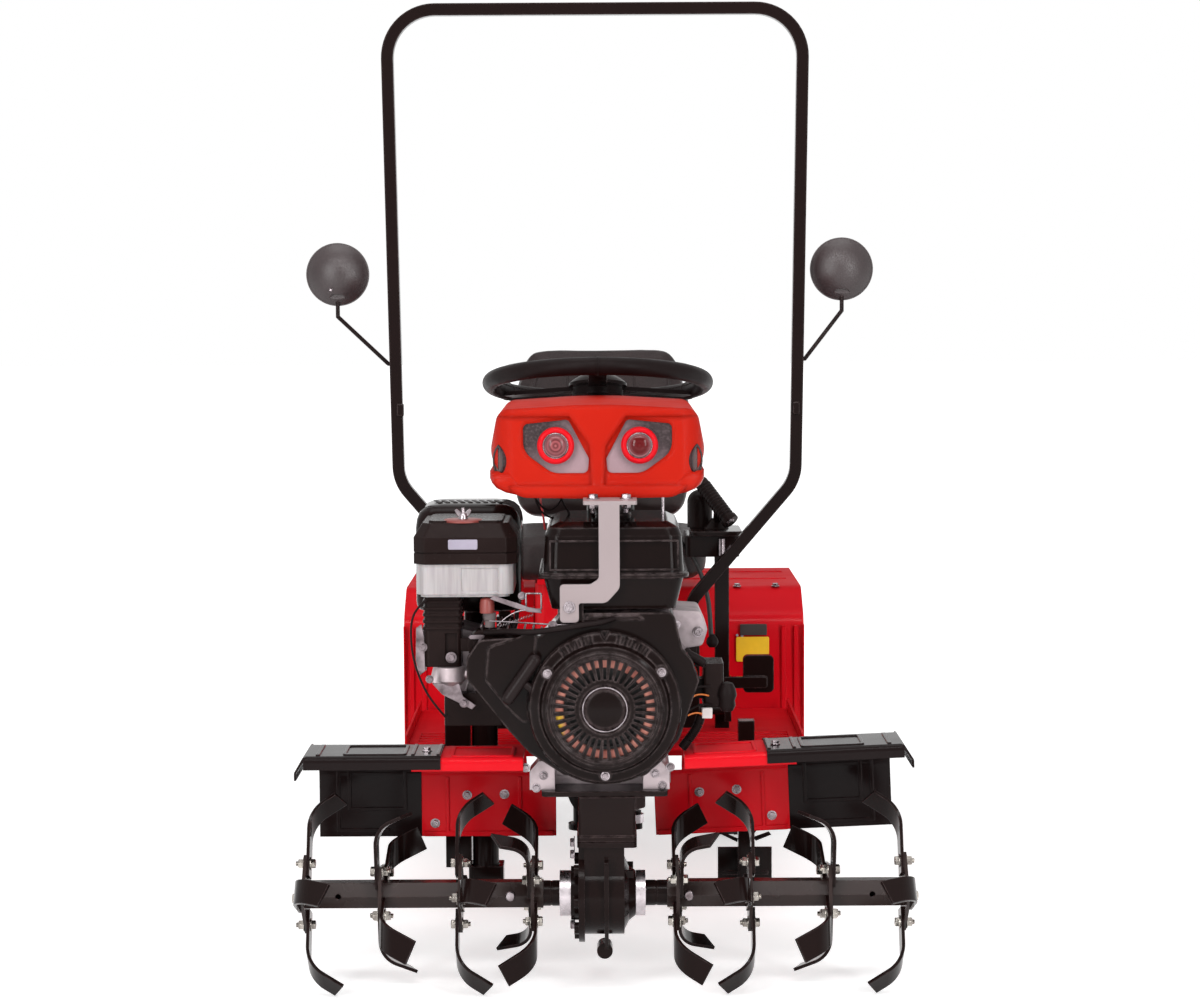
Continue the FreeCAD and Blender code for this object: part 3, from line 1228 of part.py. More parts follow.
def depth_skids():
    """Legs behind the tines on the guard bar: a square leg with its foot, and a post with a plate."""
    d = GUARD_BACK + 40
    leg = fuse([
        box(-255, -214, d, d + 36, 145, 380),
        rod((-192, d + 21, 145), (-192, d + 21, 380), 21),
        rounded_box(-219, -163, d, d + 50, 117, 146, 4),
        box(-222, -190, d + 5, d + 30, 250, 270),
    ])
    post = fuse([
        box(214, 240, d, d + 24, 122, 380),
        box(182, 269, d + 24, d + 30, 119, 170),
        box(188, 263, d + 20, d + 24.5, 126, 132),
    ])
    return leg, post


nodes["depth_skids"] = group(depth_skids())


# ---- fenders, deck and seat ----------------------------------------------------------------------
def fender():
    """Rear mudguard, left-hand side: rolled top, outer lip, upright beads and its stay."""
    front, rear = FENDER_FRONT, AXLE_D + 240
    path = [(front, FENDER_LOW), (front + 8, FENDER_TOP - 50), (front + 80, FENDER_TOP), (AXLE_D + 150, FENDER_TOP),
            (rear - 8, FENDER_TOP - 60), (rear, FENDER_TOP - 140)]
    outline, radii = bent_strip(path, [0, 45, 45, 45, 45, 0], FENDER_T)
    skin = side_plate(outline, radii, -FENDER_OUT, -FENDER_IN)
    skirt_low = FENDER_TOP - 52
    lip_line = [(front + 14, skirt_low), (front + 82, FENDER_TOP - 2), (AXLE_D + 148, FENDER_TOP - 2),
                (rear - 14, skirt_low)]
    lip = side_plate(lip_line, [0, 38, 38, 0], -FENDER_OUT, -FENDER_OUT + FENDER_T)
    fold = box(-FENDER_OUT, -FENDER_OUT + FENDER_T, front - 6, front + 3, FENDER_LOW + 4, FENDER_TOP - 62)
    beads = [box(x - 4, x + 4, front - 2, front + 4, FENDER_LOW + 12, FENDER_TOP - 64)
             for x in (-356, -333, -224)]
    rails = [box(-FENDER_OUT + 20, -FENDER_IN - 10, d, d + 8, FENDER_TOP - 1, FENDER_TOP + 2)
             for d in (AXLE_D - 60, AXLE_D + 60)]
    inner = -RAIL_X - RAIL_W / 2
    stay_d = AXLE_D - 90
    bracket = box(-FENDER_IN - 30, inner, stay_d, stay_d + 30, FENDER_TOP - 23, FENDER_TOP - 3)
    stay = box(inner - 20, inner, stay_d, stay_d + 30, RAIL_Z, FENDER_TOP - 3)
    return fuse([skin, lip, fold, bracket, stay] + beads + rails)


nodes["fender_left"] = fender()
nodes["fender_right"] = mirror_x(nodes["fender_left"])


def footboard():
    """Left-hand foot plate with raised treads, a kerb and its bearers."""
    inner = -RAIL_X - RAIL_W / 2
    plate = rounded_box(-340, inner, 470, 890, DECK_Z, DECK_Z + DECK_T, 14)
    kerb = box(-340, -336, 490, 870, DECK_Z + DECK_T, DECK_Z + 24)
    tread_z = DECK_Z + DECK_T
    treads = [box(-320, inner - 30, d, d + 6, tread_z, tread_z + 3) for d in range(520, 640, 24)]
    bearers = [box(-330, inner + 30, d, d + 25, DECK_Z - 25, DECK_Z) for d in (560, 800)]
    hangers = [box(inner + 5, inner + 30, d, d + 25, DECK_Z, RAIL_Z) for d in (560, 800)]
    return fuse([plate, kerb] + treads + bearers + hangers).cut(nodes["main_frame"])


board = footboard()
nodes["footboards"] = group([board, mirror_x(board)])


def seat_pedestal():
    """Open-bottomed stand with runners and the stay of the backrest."""
    half, wall, top = 125, 4, SEAT_Z - 12
    d0, d1 = SEAT_FRONT + 55, SEAT_BACK_D - 15
    outer = rounded_box(-half, half, d0, d1, BOX_Z, top, 20)
    inner = rounded_box(wall - half, half - wall, d0 + wall, d1 - wall, BOX_Z - 1, top - wall, 17)
    runners = [box(x, x + 30, d0 - 20, d1 - 10, top, SEAT_Z) for x in (-120, 90)]
    plate = box(-90, 90, SEAT_BACK_D - 130, SEAT_BACK_D + 96, SEAT_Z - 6, SEAT_Z)
    stay = box(-60, 60, SEAT_BACK_D + 90, SEAT_BACK_D + 96, SEAT_Z - 6, SEAT_Z + 220)
    return fuse([outer.cut(inner)] + runners + [plate, stay])


def seat_cushion():
    return rounded_box(-205, 205, SEAT_FRONT, SEAT_BACK_D + 20, SEAT_Z, SEAT_Z + 72, 60)


def seat_back():
    """Upright pad, wider in the middle, its top a little raised between the piping."""
    x = -3.0
    low = SEAT_Z + 74
    outline = [(x - 200, low), (x + 200, low), (x + 200, 838), (x + 158, SEAT_TOP - 5), (x + 94, SEAT_TOP),
               (x - 94, SEAT_TOP), (x - 158, SEAT_TOP - 5), (x - 200, 838)]
    pad = front_plate(outline, [50, 50, 120, 48, 60, 60, 48, 120], SEAT_BACK_D - 32, SEAT_BACK_D + 38)
    pad.rotate(V(0, back(SEAT_BACK_D), low), V(1, 0, 0), -8)
    return pad


nodes["seat_cushion"] = seat_cushion()
nodes["seat_back"] = seat_back().cut(nodes["seat_cushion"])
nodes["seat_pedestal"] = seat_pedestal().cut(nodes["seat_back"])


# ---- controls --------------------------------------------------------------------------------------
def brake_pedal():
    """Upright pad on a bent arm from a cross shaft on the right-hand rail."""
    x, d, z = PEDAL_X, PEDAL_D, PEDAL_Z
    pad = front_plate(rectangle(x - 27, x + 27, z - 33, z + 33), 9, d, d + 14)
    ribs = [box(x - 21, x + 21, d + 14, d + 17, z + 13 * i - 2, z + 13 * i + 2) for i in range(-2, 3)]
    arm = front_plate(rectangle(x - 60, x + 15, z - 24, z - 4), 5, d - 8, d)
    shank = box(x - 60, x - 48, d - 8, d + 12, RAIL_Z, z - 4)
    cross = rod((RAIL_X + RAIL_W / 2, d + 2, RAIL_Z + 20), (x - 50, d + 2, RAIL_Z + 20), 9)
    return fuse([pad, arm, shank, cross] + ribs)


nodes["brake_pedal"] = brake_pedal()


def lever_console():
    """Box on a post beside the seat with its slotted top plate."""
    x, z = CONSOLE_X, CONSOLE_Z
    post = box(x + 6, x + 31, 672, 697, DECK_Z + DECK_T, z)
    housing = rounded_box(x - 48, x + 46, 600, 700, z, z + 37, 8)
    plate = rounded_box(x - 38, x + 50, 590, 710, z + 37, z + 45, 10)
    return fuse([post, housing, plate])


def hand_levers():
    """Leaning lever with its grip and boot, and a domed knob beside it."""
    x, z = CONSOLE_X, CONSOLE_Z + 45
    grip = rod((x + 26, 600, z + 22), (x - 18, 640, z + 80), 12.5)
    tip = Part.makeSphere(12.5, V(x - 18, back(640), z + 80))
    collar_end = rod((x + 26, 600, z + 22), (x + 31, 596, z + 16), 15)
    stalk = rod((x + 8, 652, z), (x + 10, 622, z + 42), 7)
    boot = Part.makeCone(22, 9, 18, V(x + 8, back(650), z))
    dome = fuse([rod((x - 20, 680, z), (x - 20, 680, z + 44), 22),
                 Part.makeSphere(22, V(x - 20, back(680), z + 44))])
    return [fuse([grip, tip, collar_end, stalk, boot]), dome]


nodes["lever_console"] = lever_console()
nodes["hand_levers"] = group([s.cut(nodes["lever_console"]) for s in hand_levers()])

# ---- output -----------------------------------------------------------------------------------------
os.makedirs("parts", exist_ok=True)
for name, shape in nodes.items():
    nodes[name] = shape.translated(V(OUTLINE_SHIFT, 0, 0))
    nodes[name].exportStep("parts/" + name + ".step")
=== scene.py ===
import json
import math

import bmesh
import bpy
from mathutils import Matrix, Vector


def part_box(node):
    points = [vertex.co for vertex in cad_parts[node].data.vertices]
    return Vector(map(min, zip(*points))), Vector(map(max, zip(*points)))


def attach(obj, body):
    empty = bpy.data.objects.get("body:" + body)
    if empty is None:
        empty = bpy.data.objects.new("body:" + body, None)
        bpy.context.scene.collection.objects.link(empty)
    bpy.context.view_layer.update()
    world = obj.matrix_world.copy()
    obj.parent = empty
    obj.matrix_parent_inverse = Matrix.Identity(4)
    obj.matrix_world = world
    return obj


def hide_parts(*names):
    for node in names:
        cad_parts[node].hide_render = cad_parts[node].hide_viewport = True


# Ride-on front-tine tiller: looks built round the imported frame. Places are given as
# (x, depth, z) in millimetres: x from the wheels' middle plane, the depth backwards from
# the rotor's axis, z from the ground.

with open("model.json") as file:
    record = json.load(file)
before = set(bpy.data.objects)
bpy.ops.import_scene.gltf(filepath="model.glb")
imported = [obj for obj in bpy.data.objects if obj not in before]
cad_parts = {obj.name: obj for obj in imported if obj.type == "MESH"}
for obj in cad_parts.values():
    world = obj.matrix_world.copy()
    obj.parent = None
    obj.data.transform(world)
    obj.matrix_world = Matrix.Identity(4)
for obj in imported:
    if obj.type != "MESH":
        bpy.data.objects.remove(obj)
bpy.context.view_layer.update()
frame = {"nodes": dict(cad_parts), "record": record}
NODES = frame["nodes"]
ROTOR_Y = sum(v[1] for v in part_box("rotor_shaft")) / 2
AXIS_Z = 1000 * sum(v[2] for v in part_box("rotor_shaft")) / 2
MIDDLE = 500 * sum(v[0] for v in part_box("rotor_shaft"))     # the wheels' middle plane

# ---- camera: a long lens low in front of the tines -----------------------------------------
LENS = 80.0
CAMERA_BACK = 4.0
CAMERA_HEIGHT = 1.083
CAMERA_PITCH = math.radians(4.71)
CAMERA_ROLL = math.radians(0.3)
CAMERA_SHIFT = -0.0017

camera_data = bpy.data.cameras.new("camera")
camera_data.lens = LENS
camera_data.shift_x = CAMERA_SHIFT
camera = bpy.data.objects.new("camera", camera_data)
bpy.context.scene.collection.objects.link(camera)
camera.location = (MIDDLE / 1000, ROTOR_Y - CAMERA_BACK, CAMERA_HEIGHT)
camera.rotation_euler = (math.pi / 2 - CAMERA_PITCH, CAMERA_ROLL, 0)
bpy.context.scene.camera = camera


# ---- materials ------------------------------------------------------------------------------
DARK = {"Specular_IOR_Level": 0.06}        # so that the white studio doesn't grey the blacks
GLOSS = {"Specular_IOR_Level": 0.085}
EDGE_STARTS, EDGE_FULL = 0.995, 0.80       # cosines between the softened and the true normal


def linear(r, g, b):
    """Colour as seen on screen, 0 to 255, turned into scene values."""
    return tuple(((c / 255 + 0.055) / 1.055) ** 2.4 if c > 10 else c / 255 / 12.92 for c in (r, g, b))


class Shader:
    """A node material that is put together step by step."""

    def __init__(self, name):
        self.mat = bpy.data.materials.new(name)
        self.mat.use_nodes = True
        self.nodes = self.mat.node_tree.nodes
        self.links = self.mat.node_tree.links
        self.surface = self.nodes["Principled BSDF"]
        self.place = self.add("ShaderNodeTexCoord").outputs["Object"]

    def add(self, kind, inputs=(), **settings):
        node = self.nodes.new(kind)
        for key, value in settings.items():
            setattr(node, key, value)
        for socket, value in dict(inputs).items():
            self.put(node.inputs[socket], value)
        return node

    def put(self, socket, value):
        if isinstance(value, bpy.types.NodeSocket):
            self.links.new(value, socket)
        elif isinstance(value, tuple) and len(value) == 3 and socket.type == "RGBA":
            socket.default_value = (*value, 1)
        else:
            socket.default_value = value

    def noise(self, scale, detail=3.0, stretch=None, distortion=0.0):
        place = self.place
        if stretch:
            place = self.add("ShaderNodeMapping", {"Vector": place, "Scale": stretch}).outputs[0]
        return self.add("ShaderNodeTexNoise", {"Vector": place, "Scale": scale, "Detail": detail,
                                               "Distortion": distortion}).outputs["Fac"]

    def remap(self, value, low, high, to_low=0.0, to_high=1.0):
        return self.add("ShaderNodeMapRange", {"Value": value, "From Min": low, "From Max": high,
                                               "To Min": to_low, "To Max": to_high}).outputs[0]

    def math(self, what, a, b=0.0):
        return self.add("ShaderNodeMath", {0: a, 1: b}, operation=what).outputs[0]

    def mix(self, factor, a, b):
        node = self.add("ShaderNodeMix", {"Factor": factor}, data_type="RGBA")
        self.put(node.inputs[6], a)
        self.put(node.inputs[7], b)
        return node.outputs[2]

    def edges(self, radius):
        """1 along outer and inner edges, 0 on flat ground, and the softened normal."""
        soft = self.add("ShaderNodeBevel", {"Radius": radius}, samples=4).outputs[0]
        hard = self.add("ShaderNodeNewGeometry").outputs["Normal"]
        dot = self.add("ShaderNodeVectorMath", {0: soft, 1: hard}, operation="DOT_PRODUCT").outputs["Value"]
        return self.remap(dot, EDGE_STARTS, EDGE_FULL), soft

    def bump(self, height, strength, distance, normal=None):
        inputs = {"Height": height, "Strength": strength, "Distance": distance}
        if normal is not None:
            inputs["Normal"] = normal
        return self.add("ShaderNodeBump", inputs).outputs[0]

    def done(self, color, roughness, normal=None, **fixed):
        self.put(self.surface.inputs["Base Color"], color)
        self.put(self.surface.inputs["Roughness"], roughness)
        if normal is not None:
            self.put(self.surface.inputs["Normal"], normal)
        for name, value in fixed.items():
            self.surface.inputs[name.replace("_", " ")].default_value = value
        return self.mat


def coated(name, color, rough, worn, wear_and_edge_highlight=0.35, orange_peel=0.08, dust=0.10, radius=0.0014, fixed=None):
    """Painted or plated metal: uneven colour, dull patches, softened edges tinted towards the worn colour,
    which is wear and, where that colour is paler, a painted highlight.
    """
    s = Shader(name)
    patches = s.remap(s.noise(7.0, 4.0), 0.3, 0.7)
    pale = tuple(min(c * (1 + dust), 1) for c in color)
    tone = s.mix(patches, tuple(c * (1 - dust) for c in color), pale)
    edge, soft = s.edges(radius)
    chipped = s.remap(s.noise(90.0, 4.0), 0.30, 0.60)
    # edges tinted towards the worn colour: chipped wear, and on the blacks, whose worn colour is pale, a
    # painted highlight too
    tone = s.mix(s.math("MULTIPLY", s.math("MULTIPLY", edge, chipped), wear_and_edge_highlight), tone, worn)
    smear = s.remap(s.noise(23.0, 5.0, stretch=(1.0, 1.0, 0.35)), 0.3, 0.75, rough * 0.8, rough * 1.3)
    ripple = s.bump(s.noise(420.0, 2.0), orange_peel, 0.0004, soft)
    return s.done(tone, smear, ripple, **(fixed or {}))


def metal(name, color, rough, grain=160.0, strength=0.12, tint=None):
    """Bare or plated metal with a fine grain and faint tarnish."""
    s = Shader(name)
    tarnish = s.remap(s.noise(60.0, 4.0), 0.35, 0.7)
    tone = s.mix(tarnish, color, tint or tuple(c * 0.72 for c in color))
    edge, soft = s.edges(0.0006)
    tone = s.mix(s.math("MULTIPLY", edge, 0.4), tone, tuple(min(c * 1.25, 1) for c in color))
    spread = s.remap(s.noise(grain, 4.0), 0.3, 0.7, rough * 0.75, rough * 1.3)
    return s.done(tone, spread, s.bump(s.noise(grain * 3, 3.0), strength, 0.0003, soft), Metallic=1.0)


def cast_metal(name, color, rough):
    """Die-cast alloy: granular skin, darker in scattered patches."""
    s = Shader(name)
    grime = s.remap(s.noise(26.0, 5.0), 0.42, 0.72)
    tone = s.mix(grime, color, tuple(c * 0.45 for c in color))
    _, soft = s.edges(0.0022)
    skin = s.noise(900.0, 4.0)
    return s.done(tone, s.remap(skin, 0.3, 0.7, rough * 0.85, rough * 1.2),
                  s.bump(skin, 0.35, 0.0006, soft), Metallic=0.75)


def plastic(name, color, rough, grain=1400.0, strength=0.25, radius=0.0012, fixed=None):
    """Moulded plastic or rubber with a pressed-in grain."""
    s = Shader(name)
    cells = s.add("ShaderNodeTexVoronoi", {"Vector": s.place, "Scale": grain}).outputs["Distance"]
    haze = s.remap(s.noise(14.0, 4.0), 0.35, 0.7)
    tone = s.mix(haze, color, tuple(min(c * 1.35 + 0.002, 1) for c in color))
    edge, soft = s.edges(radius)
    tone = s.mix(s.math("MULTIPLY", edge, 0.25), tone, tuple(min(c * 2.2 + 0.01, 1) for c in color))
    spread = s.remap(s.noise(37.0, 4.0), 0.3, 0.7, rough * 0.85, rough * 1.2)
    return s.done(tone, spread, s.bump(cells, strength, 0.0003, soft), **(fixed or {}))


def vinyl(name, color):
    """Soft grained upholstery vinyl: cells of leather grain over broad creases."""
    s = Shader(name)
    cells = s.add("ShaderNodeTexVoronoi", {"Vector": s.place, "Scale": 420.0},
                  feature="DISTANCE_TO_EDGE").outputs[0]
    valleys = s.remap(cells, 0.0, 0.12)
    creases = s.noise(16.0, 4.0, distortion=0.8)
    tone = s.mix(s.remap(creases, 0.3, 0.7), color, tuple(c * 1.7 for c in color))
    # darker in the grain's valleys: painted shade
    tone = s.mix(valleys, tuple(c * 0.5 for c in color), tone)
    base = s.bump(creases, 0.25, 0.004)
    return s.done(tone, s.remap(valleys, 0.0, 1.0, 0.62, 0.42), s.bump(valleys, 0.35, 0.0005, base),
                  Sheen_Weight=0.04, Sheen_Roughness=0.4,
                  Specular_IOR_Level=0.25)


def fan_metal(name):
    """Flywheel fan: copper-coloured outside, painted shade (near black) towards the hub, a yellow stain on
    one side.
    """
    s = Shader(name)
    low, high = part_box("recoil_fan")
    hub = ((low[0] + high[0]) / 2, 0, (low[2] + high[2]) / 2)
    flat = s.add("ShaderNodeVectorMath", {0: s.place, 1: (1, 0, 1)}, operation="MULTIPLY").outputs[0]
    reach = s.add("ShaderNodeVectorMath", {0: flat, 1: hub}, operation="DISTANCE").outputs["Value"]
    # near black inside this ring: painted shade on the part of the fan that lies deep behind the cover's
    # slots
    rim = s.remap(reach, 0.0605, 0.0625)
    patch = s.remap(s.noise(30.0, 3.0), 0.35, 0.65)
    copper = s.mix(patch, linear(214, 140, 124), linear(176, 96, 84))
    across = s.add("ShaderNodeSeparateXYZ", {0: s.place})
    stain = s.math("MULTIPLY", s.remap(across.outputs["X"], hub[0] - 0.058, hub[0] - 0.066),
                   s.remap(across.outputs["Z"], hub[2] - 0.002, hub[2] - 0.006))
    copper = s.mix(stain, copper, linear(236, 190, 50))
    tone = s.mix(rim, linear(16, 12, 12), copper)
    _, soft = s.edges(0.0010)
    return s.done(tone, s.remap(patch, 0, 1, 0.38, 0.55), s.bump(s.noise(300.0), 0.2, 0.0004, soft),
                  Metallic=0.2)


def lamp_axes(s):
    """Distance from the nearer lamp's axis, how far out and how high, for both lamps at once."""
    low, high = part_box("lamp_lenses")
    half = (high[2] - low[2]) / 2
    centre, spread = (low[0] + high[0]) / 2, (high[0] - low[0]) / 2 - half
    split = s.add("ShaderNodeSeparateXYZ", {0: s.place})
    across = s.math("SUBTRACT", split.outputs["X"], centre)
    outward = s.math("SUBTRACT", s.math("ABSOLUTE", across), spread)
    upward = s.math("SUBTRACT", split.outputs["Z"], (low[2] + high[2]) / 2)
    squares = [s.math("MULTIPLY", part, part) for part in (outward, upward)]
    reach = s.math("SQRT", s.math("ADD", *squares))
    return across, outward, upward, reach


def lens_glass(name):
    """Lamp lens whose rings are painted reflections of the reflector behind it, with a pale painted highlight
    ring near the rim: pale on the left, dark red on the right.
    """
    s = Shader(name)
    across, _, _, reach = lamp_axes(s)
    ramp = s.add("ShaderNodeValToRGB", {"Fac": s.remap(reach, 0.0, 0.019)})
    # alternating pale and dark rings are painted reflections; the pale stop at 0.88 is a painted highlight
    lens_and_reflection_stops = ((0.0, (180, 104, 106)), (0.16, (96, 40, 44)), (0.34, (160, 84, 88)), (0.46, (88, 34, 38)),
             (0.62, (142, 80, 84)), (0.78, (120, 66, 70)), (0.88, (200, 150, 154)), (0.97, (80, 28, 32)))
    ramp.color_ramp.elements[0].color = (*linear(*lens_and_reflection_stops[0][1]), 1)
    ramp.color_ramp.elements[1].position = lens_and_reflection_stops[-1][0]
    ramp.color_ramp.elements[1].color = (*linear(*lens_and_reflection_stops[-1][1]), 1)
    for spot, color in lens_and_reflection_stops[1:-1]:
        ramp.color_ramp.elements.new(spot).color = (*linear(*color), 1)
    dark = s.math("MULTIPLY", s.remap(across, -0.001, 0.001), s.remap(reach, 0.0150, 0.0120))
    wobble = s.noise(140.0, 2.0)
    tone = s.mix(s.math("MULTIPLY", dark, 0.92), ramp.outputs["Color"], linear(88, 2, 6))
    return s.done(tone, s.remap(wobble, 0.3, 0.7, 0.04, 0.10), s.bump(wobble, 0.12, 0.0006),
                  Specular_IOR_Level=0.15)


def reflector(name):
    """Brushed reflector plate with a painted reflection: dark above and outside, silver towards the middle
    below.
    """
    s = Shader(name)
    _, outward, upward, _ = lamp_axes(s)
    # painted reflection: dark above and outside, silver towards the middle below
    painted_reflection_slope = s.remap(s.math("ADD", outward, s.math("MULTIPLY", upward, 0.9)), -0.060, 0.042)
    grain = s.noise(240.0, 3.0)
    tone = s.mix(painted_reflection_slope, linear(148, 122, 128), linear(40, 26, 28))
    tone = s.mix(s.remap(grain, 0.45, 0.8, 0.0, 0.12), tone, linear(180, 156, 160))
    return s.done(tone, s.remap(grain, 0.3, 0.7, 0.34, 0.5), s.bump(grain, 0.15, 0.0004), Metallic=0.35)


def clear_bowl(name):
    """Milky translucent plastic, brighter on the ridges."""
    s = Shader(name)
    streak = s.noise(26.0, 3.0, stretch=(6.0, 6.0, 0.4))
    tone = s.mix(s.remap(streak, 0.35, 0.65), linear(154, 147, 148), linear(174, 167, 168))
    edge, soft = s.edges(0.0020)
    tone = s.mix(s.math("MULTIPLY", edge, 0.5), tone, linear(206, 202, 204))
    return s.done(tone, s.remap(streak, 0, 1, 0.25, 0.4), s.bump(streak, 0.15, 0.001, soft),
                  Subsurface_Weight=0.15, Subsurface_Scale=0.01, Coat_Weight=0.3)


def red_paint(name, deep, bright, radius=0.003):
    """Gloss red, slightly uneven, with worn edges and duller on top."""
    s = Shader(name)
    patches = s.remap(s.noise(5.0, 3.0), 0.3, 0.7)
    tone = s.mix(patches, linear(*deep), linear(*bright))
    edge, _ = s.edges(0.0016)
    _, soft = s.edges(radius)
    chipped = s.remap(s.noise(120.0, 4.0), 0.50, 0.60)
    tone = s.mix(s.math("MULTIPLY", s.math("MULTIPLY", edge, chipped), 0.30), tone, linear(110, 24, 24))
    normal = s.add("ShaderNodeNewGeometry").outputs["Normal"]
    facing = s.add("ShaderNodeSeparateXYZ", {0: normal}).outputs["Z"]
    smear = s.remap(s.noise(18.0, 5.0), 0.3, 0.75, 0.13, 0.24)
    smear = s.math("ADD", smear, s.remap(facing, 0.6, 0.9, 0.0, 0.45))
    return s.done(tone, smear, s.bump(s.noise(260.0, 2.0), 0.05, 0.0004, soft), **GLOSS)


MATS = {
    "red_paint": red_paint("red_paint", (204, 14, 28), (214, 22, 32)),
    # the blacks' pale worn colours light their edges: wear and a painted highlight
    "black_paint": coated("black_paint", linear(26, 15, 14), 0.13, linear(120, 102, 102),
                          wear_and_edge_highlight=0.50, radius=0.0035, fixed=GLOSS),
    "engine_black": coated("engine_black", linear(20, 11, 10), 0.09, linear(128, 112, 112),
                           wear_and_edge_highlight=0.55, orange_peel=0.05, radius=0.0055, fixed=GLOSS),
    "cast_black": coated("cast_black", linear(24, 14, 13), 0.14, linear(96, 80, 80),
                         orange_peel=0.5, fixed=GLOSS),
    "aluminium": cast_metal("aluminium", linear(176, 162, 165), 0.42),
    "zinc_steel": metal("zinc_steel", linear(205, 196, 200), 0.30),
    "grey_paint": coated("grey_paint", linear(151, 137, 138), 0.42, linear(120, 108, 112),
                         dust=0.05, orange_peel=0.2),
    "tine_steel": coated("tine_steel", linear(26, 15, 14), 0.13, linear(120, 102, 102),
                         wear_and_edge_highlight=0.45, radius=0.002, fixed=GLOSS),
    "black_plastic": plastic("black_plastic", linear(28, 18, 17), 0.24, radius=0.003, fixed=DARK),
    "clear_plastic": clear_bowl("clear_plastic"),
    "tyre_rubber": plastic("tyre_rubber", linear(30, 27, 26), 0.68, grain=700.0, fixed=DARK),
    "grip_rubber": plastic("grip_rubber", linear(24, 17, 17), 0.40, grain=1700.0, fixed=DARK),
    "seat_vinyl": vinyl("seat_vinyl", linear(32, 21, 21)),
    "lamp_glass": lens_glass("lamp_glass"),
    "amber_plastic": plastic("amber_plastic", linear(74, 44, 42), 0.16, grain=420.0, strength=0.6),
    "lamp_chrome": reflector("lamp_chrome"),
    "mirror_glass": metal("mirror_glass", linear(226, 230, 232), 0.05, strength=0.01),
    "fan_copper": fan_metal("fan_copper"),
}
BRIGHT = metal("bolt_zinc", linear(168, 158, 162), 0.26, grain=300.0, tint=linear(96, 86, 88))
BOLT_STEEL = metal("bolt_dark", linear(196, 190, 182), 0.24, grain=260.0, tint=linear(100, 92, 88))
LABEL = plastic("label_pale", linear(150, 142, 158), 0.38, grain=300.0, strength=0.05)
YELLOW = plastic("plate_yellow", linear(222, 178, 20), 0.36, grain=300.0, strength=0.05)
PLATE_BLACK = plastic("plate_black", linear(34, 22, 20), 0.36, grain=300.0, strength=0.05)
RED_CAP = plastic("cap_red", linear(120, 50, 44), 0.4)
WIRE_RED = plastic("wire_red", linear(190, 36, 40), 0.35)
WIRE_ORANGE = plastic("wire_orange", linear(206, 110, 40), 0.35)
SOCKET_WHITE = plastic("socket_white", linear(214, 206, 204), 0.4)
GASKET = plastic("gasket_grey", linear(90, 80, 80), 0.7)
MIRROR_SHELL = plastic("mirror_shell", linear(48, 38, 39), 0.36, grain=900.0, strength=0.5)
TUBE_PAINT = coated("tube_paint", linear(48, 36, 34), 0.24, linear(120, 100, 100),
                    fixed={"Specular_IOR_Level": 0.2})
SPOKE_BLACK = coated("spoke_black", linear(24, 17, 17), 0.30, linear(80, 66, 66), fixed=DARK)
FAIRING_RED = red_paint("fairing_red", (176, 26, 12), (184, 32, 16), radius=0.014)
GUARD_BLACK = coated("guard_black", linear(22, 13, 13), 0.16, linear(84, 68, 68), wear_and_edge_highlight=0.25, radius=0.0025,
                     fixed={"Specular_IOR_Level": 0.09})
GRIP_FINISH = plastic("grip_grey", linear(30, 22, 22), 0.22, radius=0.003, fixed=GLOSS)
PLATE_STEEL = metal("plate_steel", linear(140, 128, 132), 0.34, grain=300.0, tint=linear(84, 74, 76))
RUBBER = MATS["grip_rubber"]

# pieces whose own finish differs from their record slot's
FINISH_OF = {"mirror_shells": MIRROR_SHELL, "tine_tubes": TUBE_PAINT, "steering_spokes": SPOKE_BLACK,
             "fairing": FAIRING_RED, "guard_wings": GUARD_BLACK, "recoil_grip": GRIP_FINISH,
             "footboards": MATS["red_paint"]}

for part in frame["record"]["subparts"]:
    node = NODES[part["node"]]
    node.data.materials.clear()
    node.data.materials.append(FINISH_OF.get(part["node"], MATS[part["material_slot"]]))


# ---- pieces: geometry is gathered in batches, one object for each material and body ------------
def at(x, d, z):
    return Vector(((x + MIDDLE) / 1000, ROTOR_Y + d / 1000, z / 1000))


FRONT = Vector((0, -1, 0))
UP = Vector((0, 0, 1))
RIGHT = Vector((1, 0, 0))


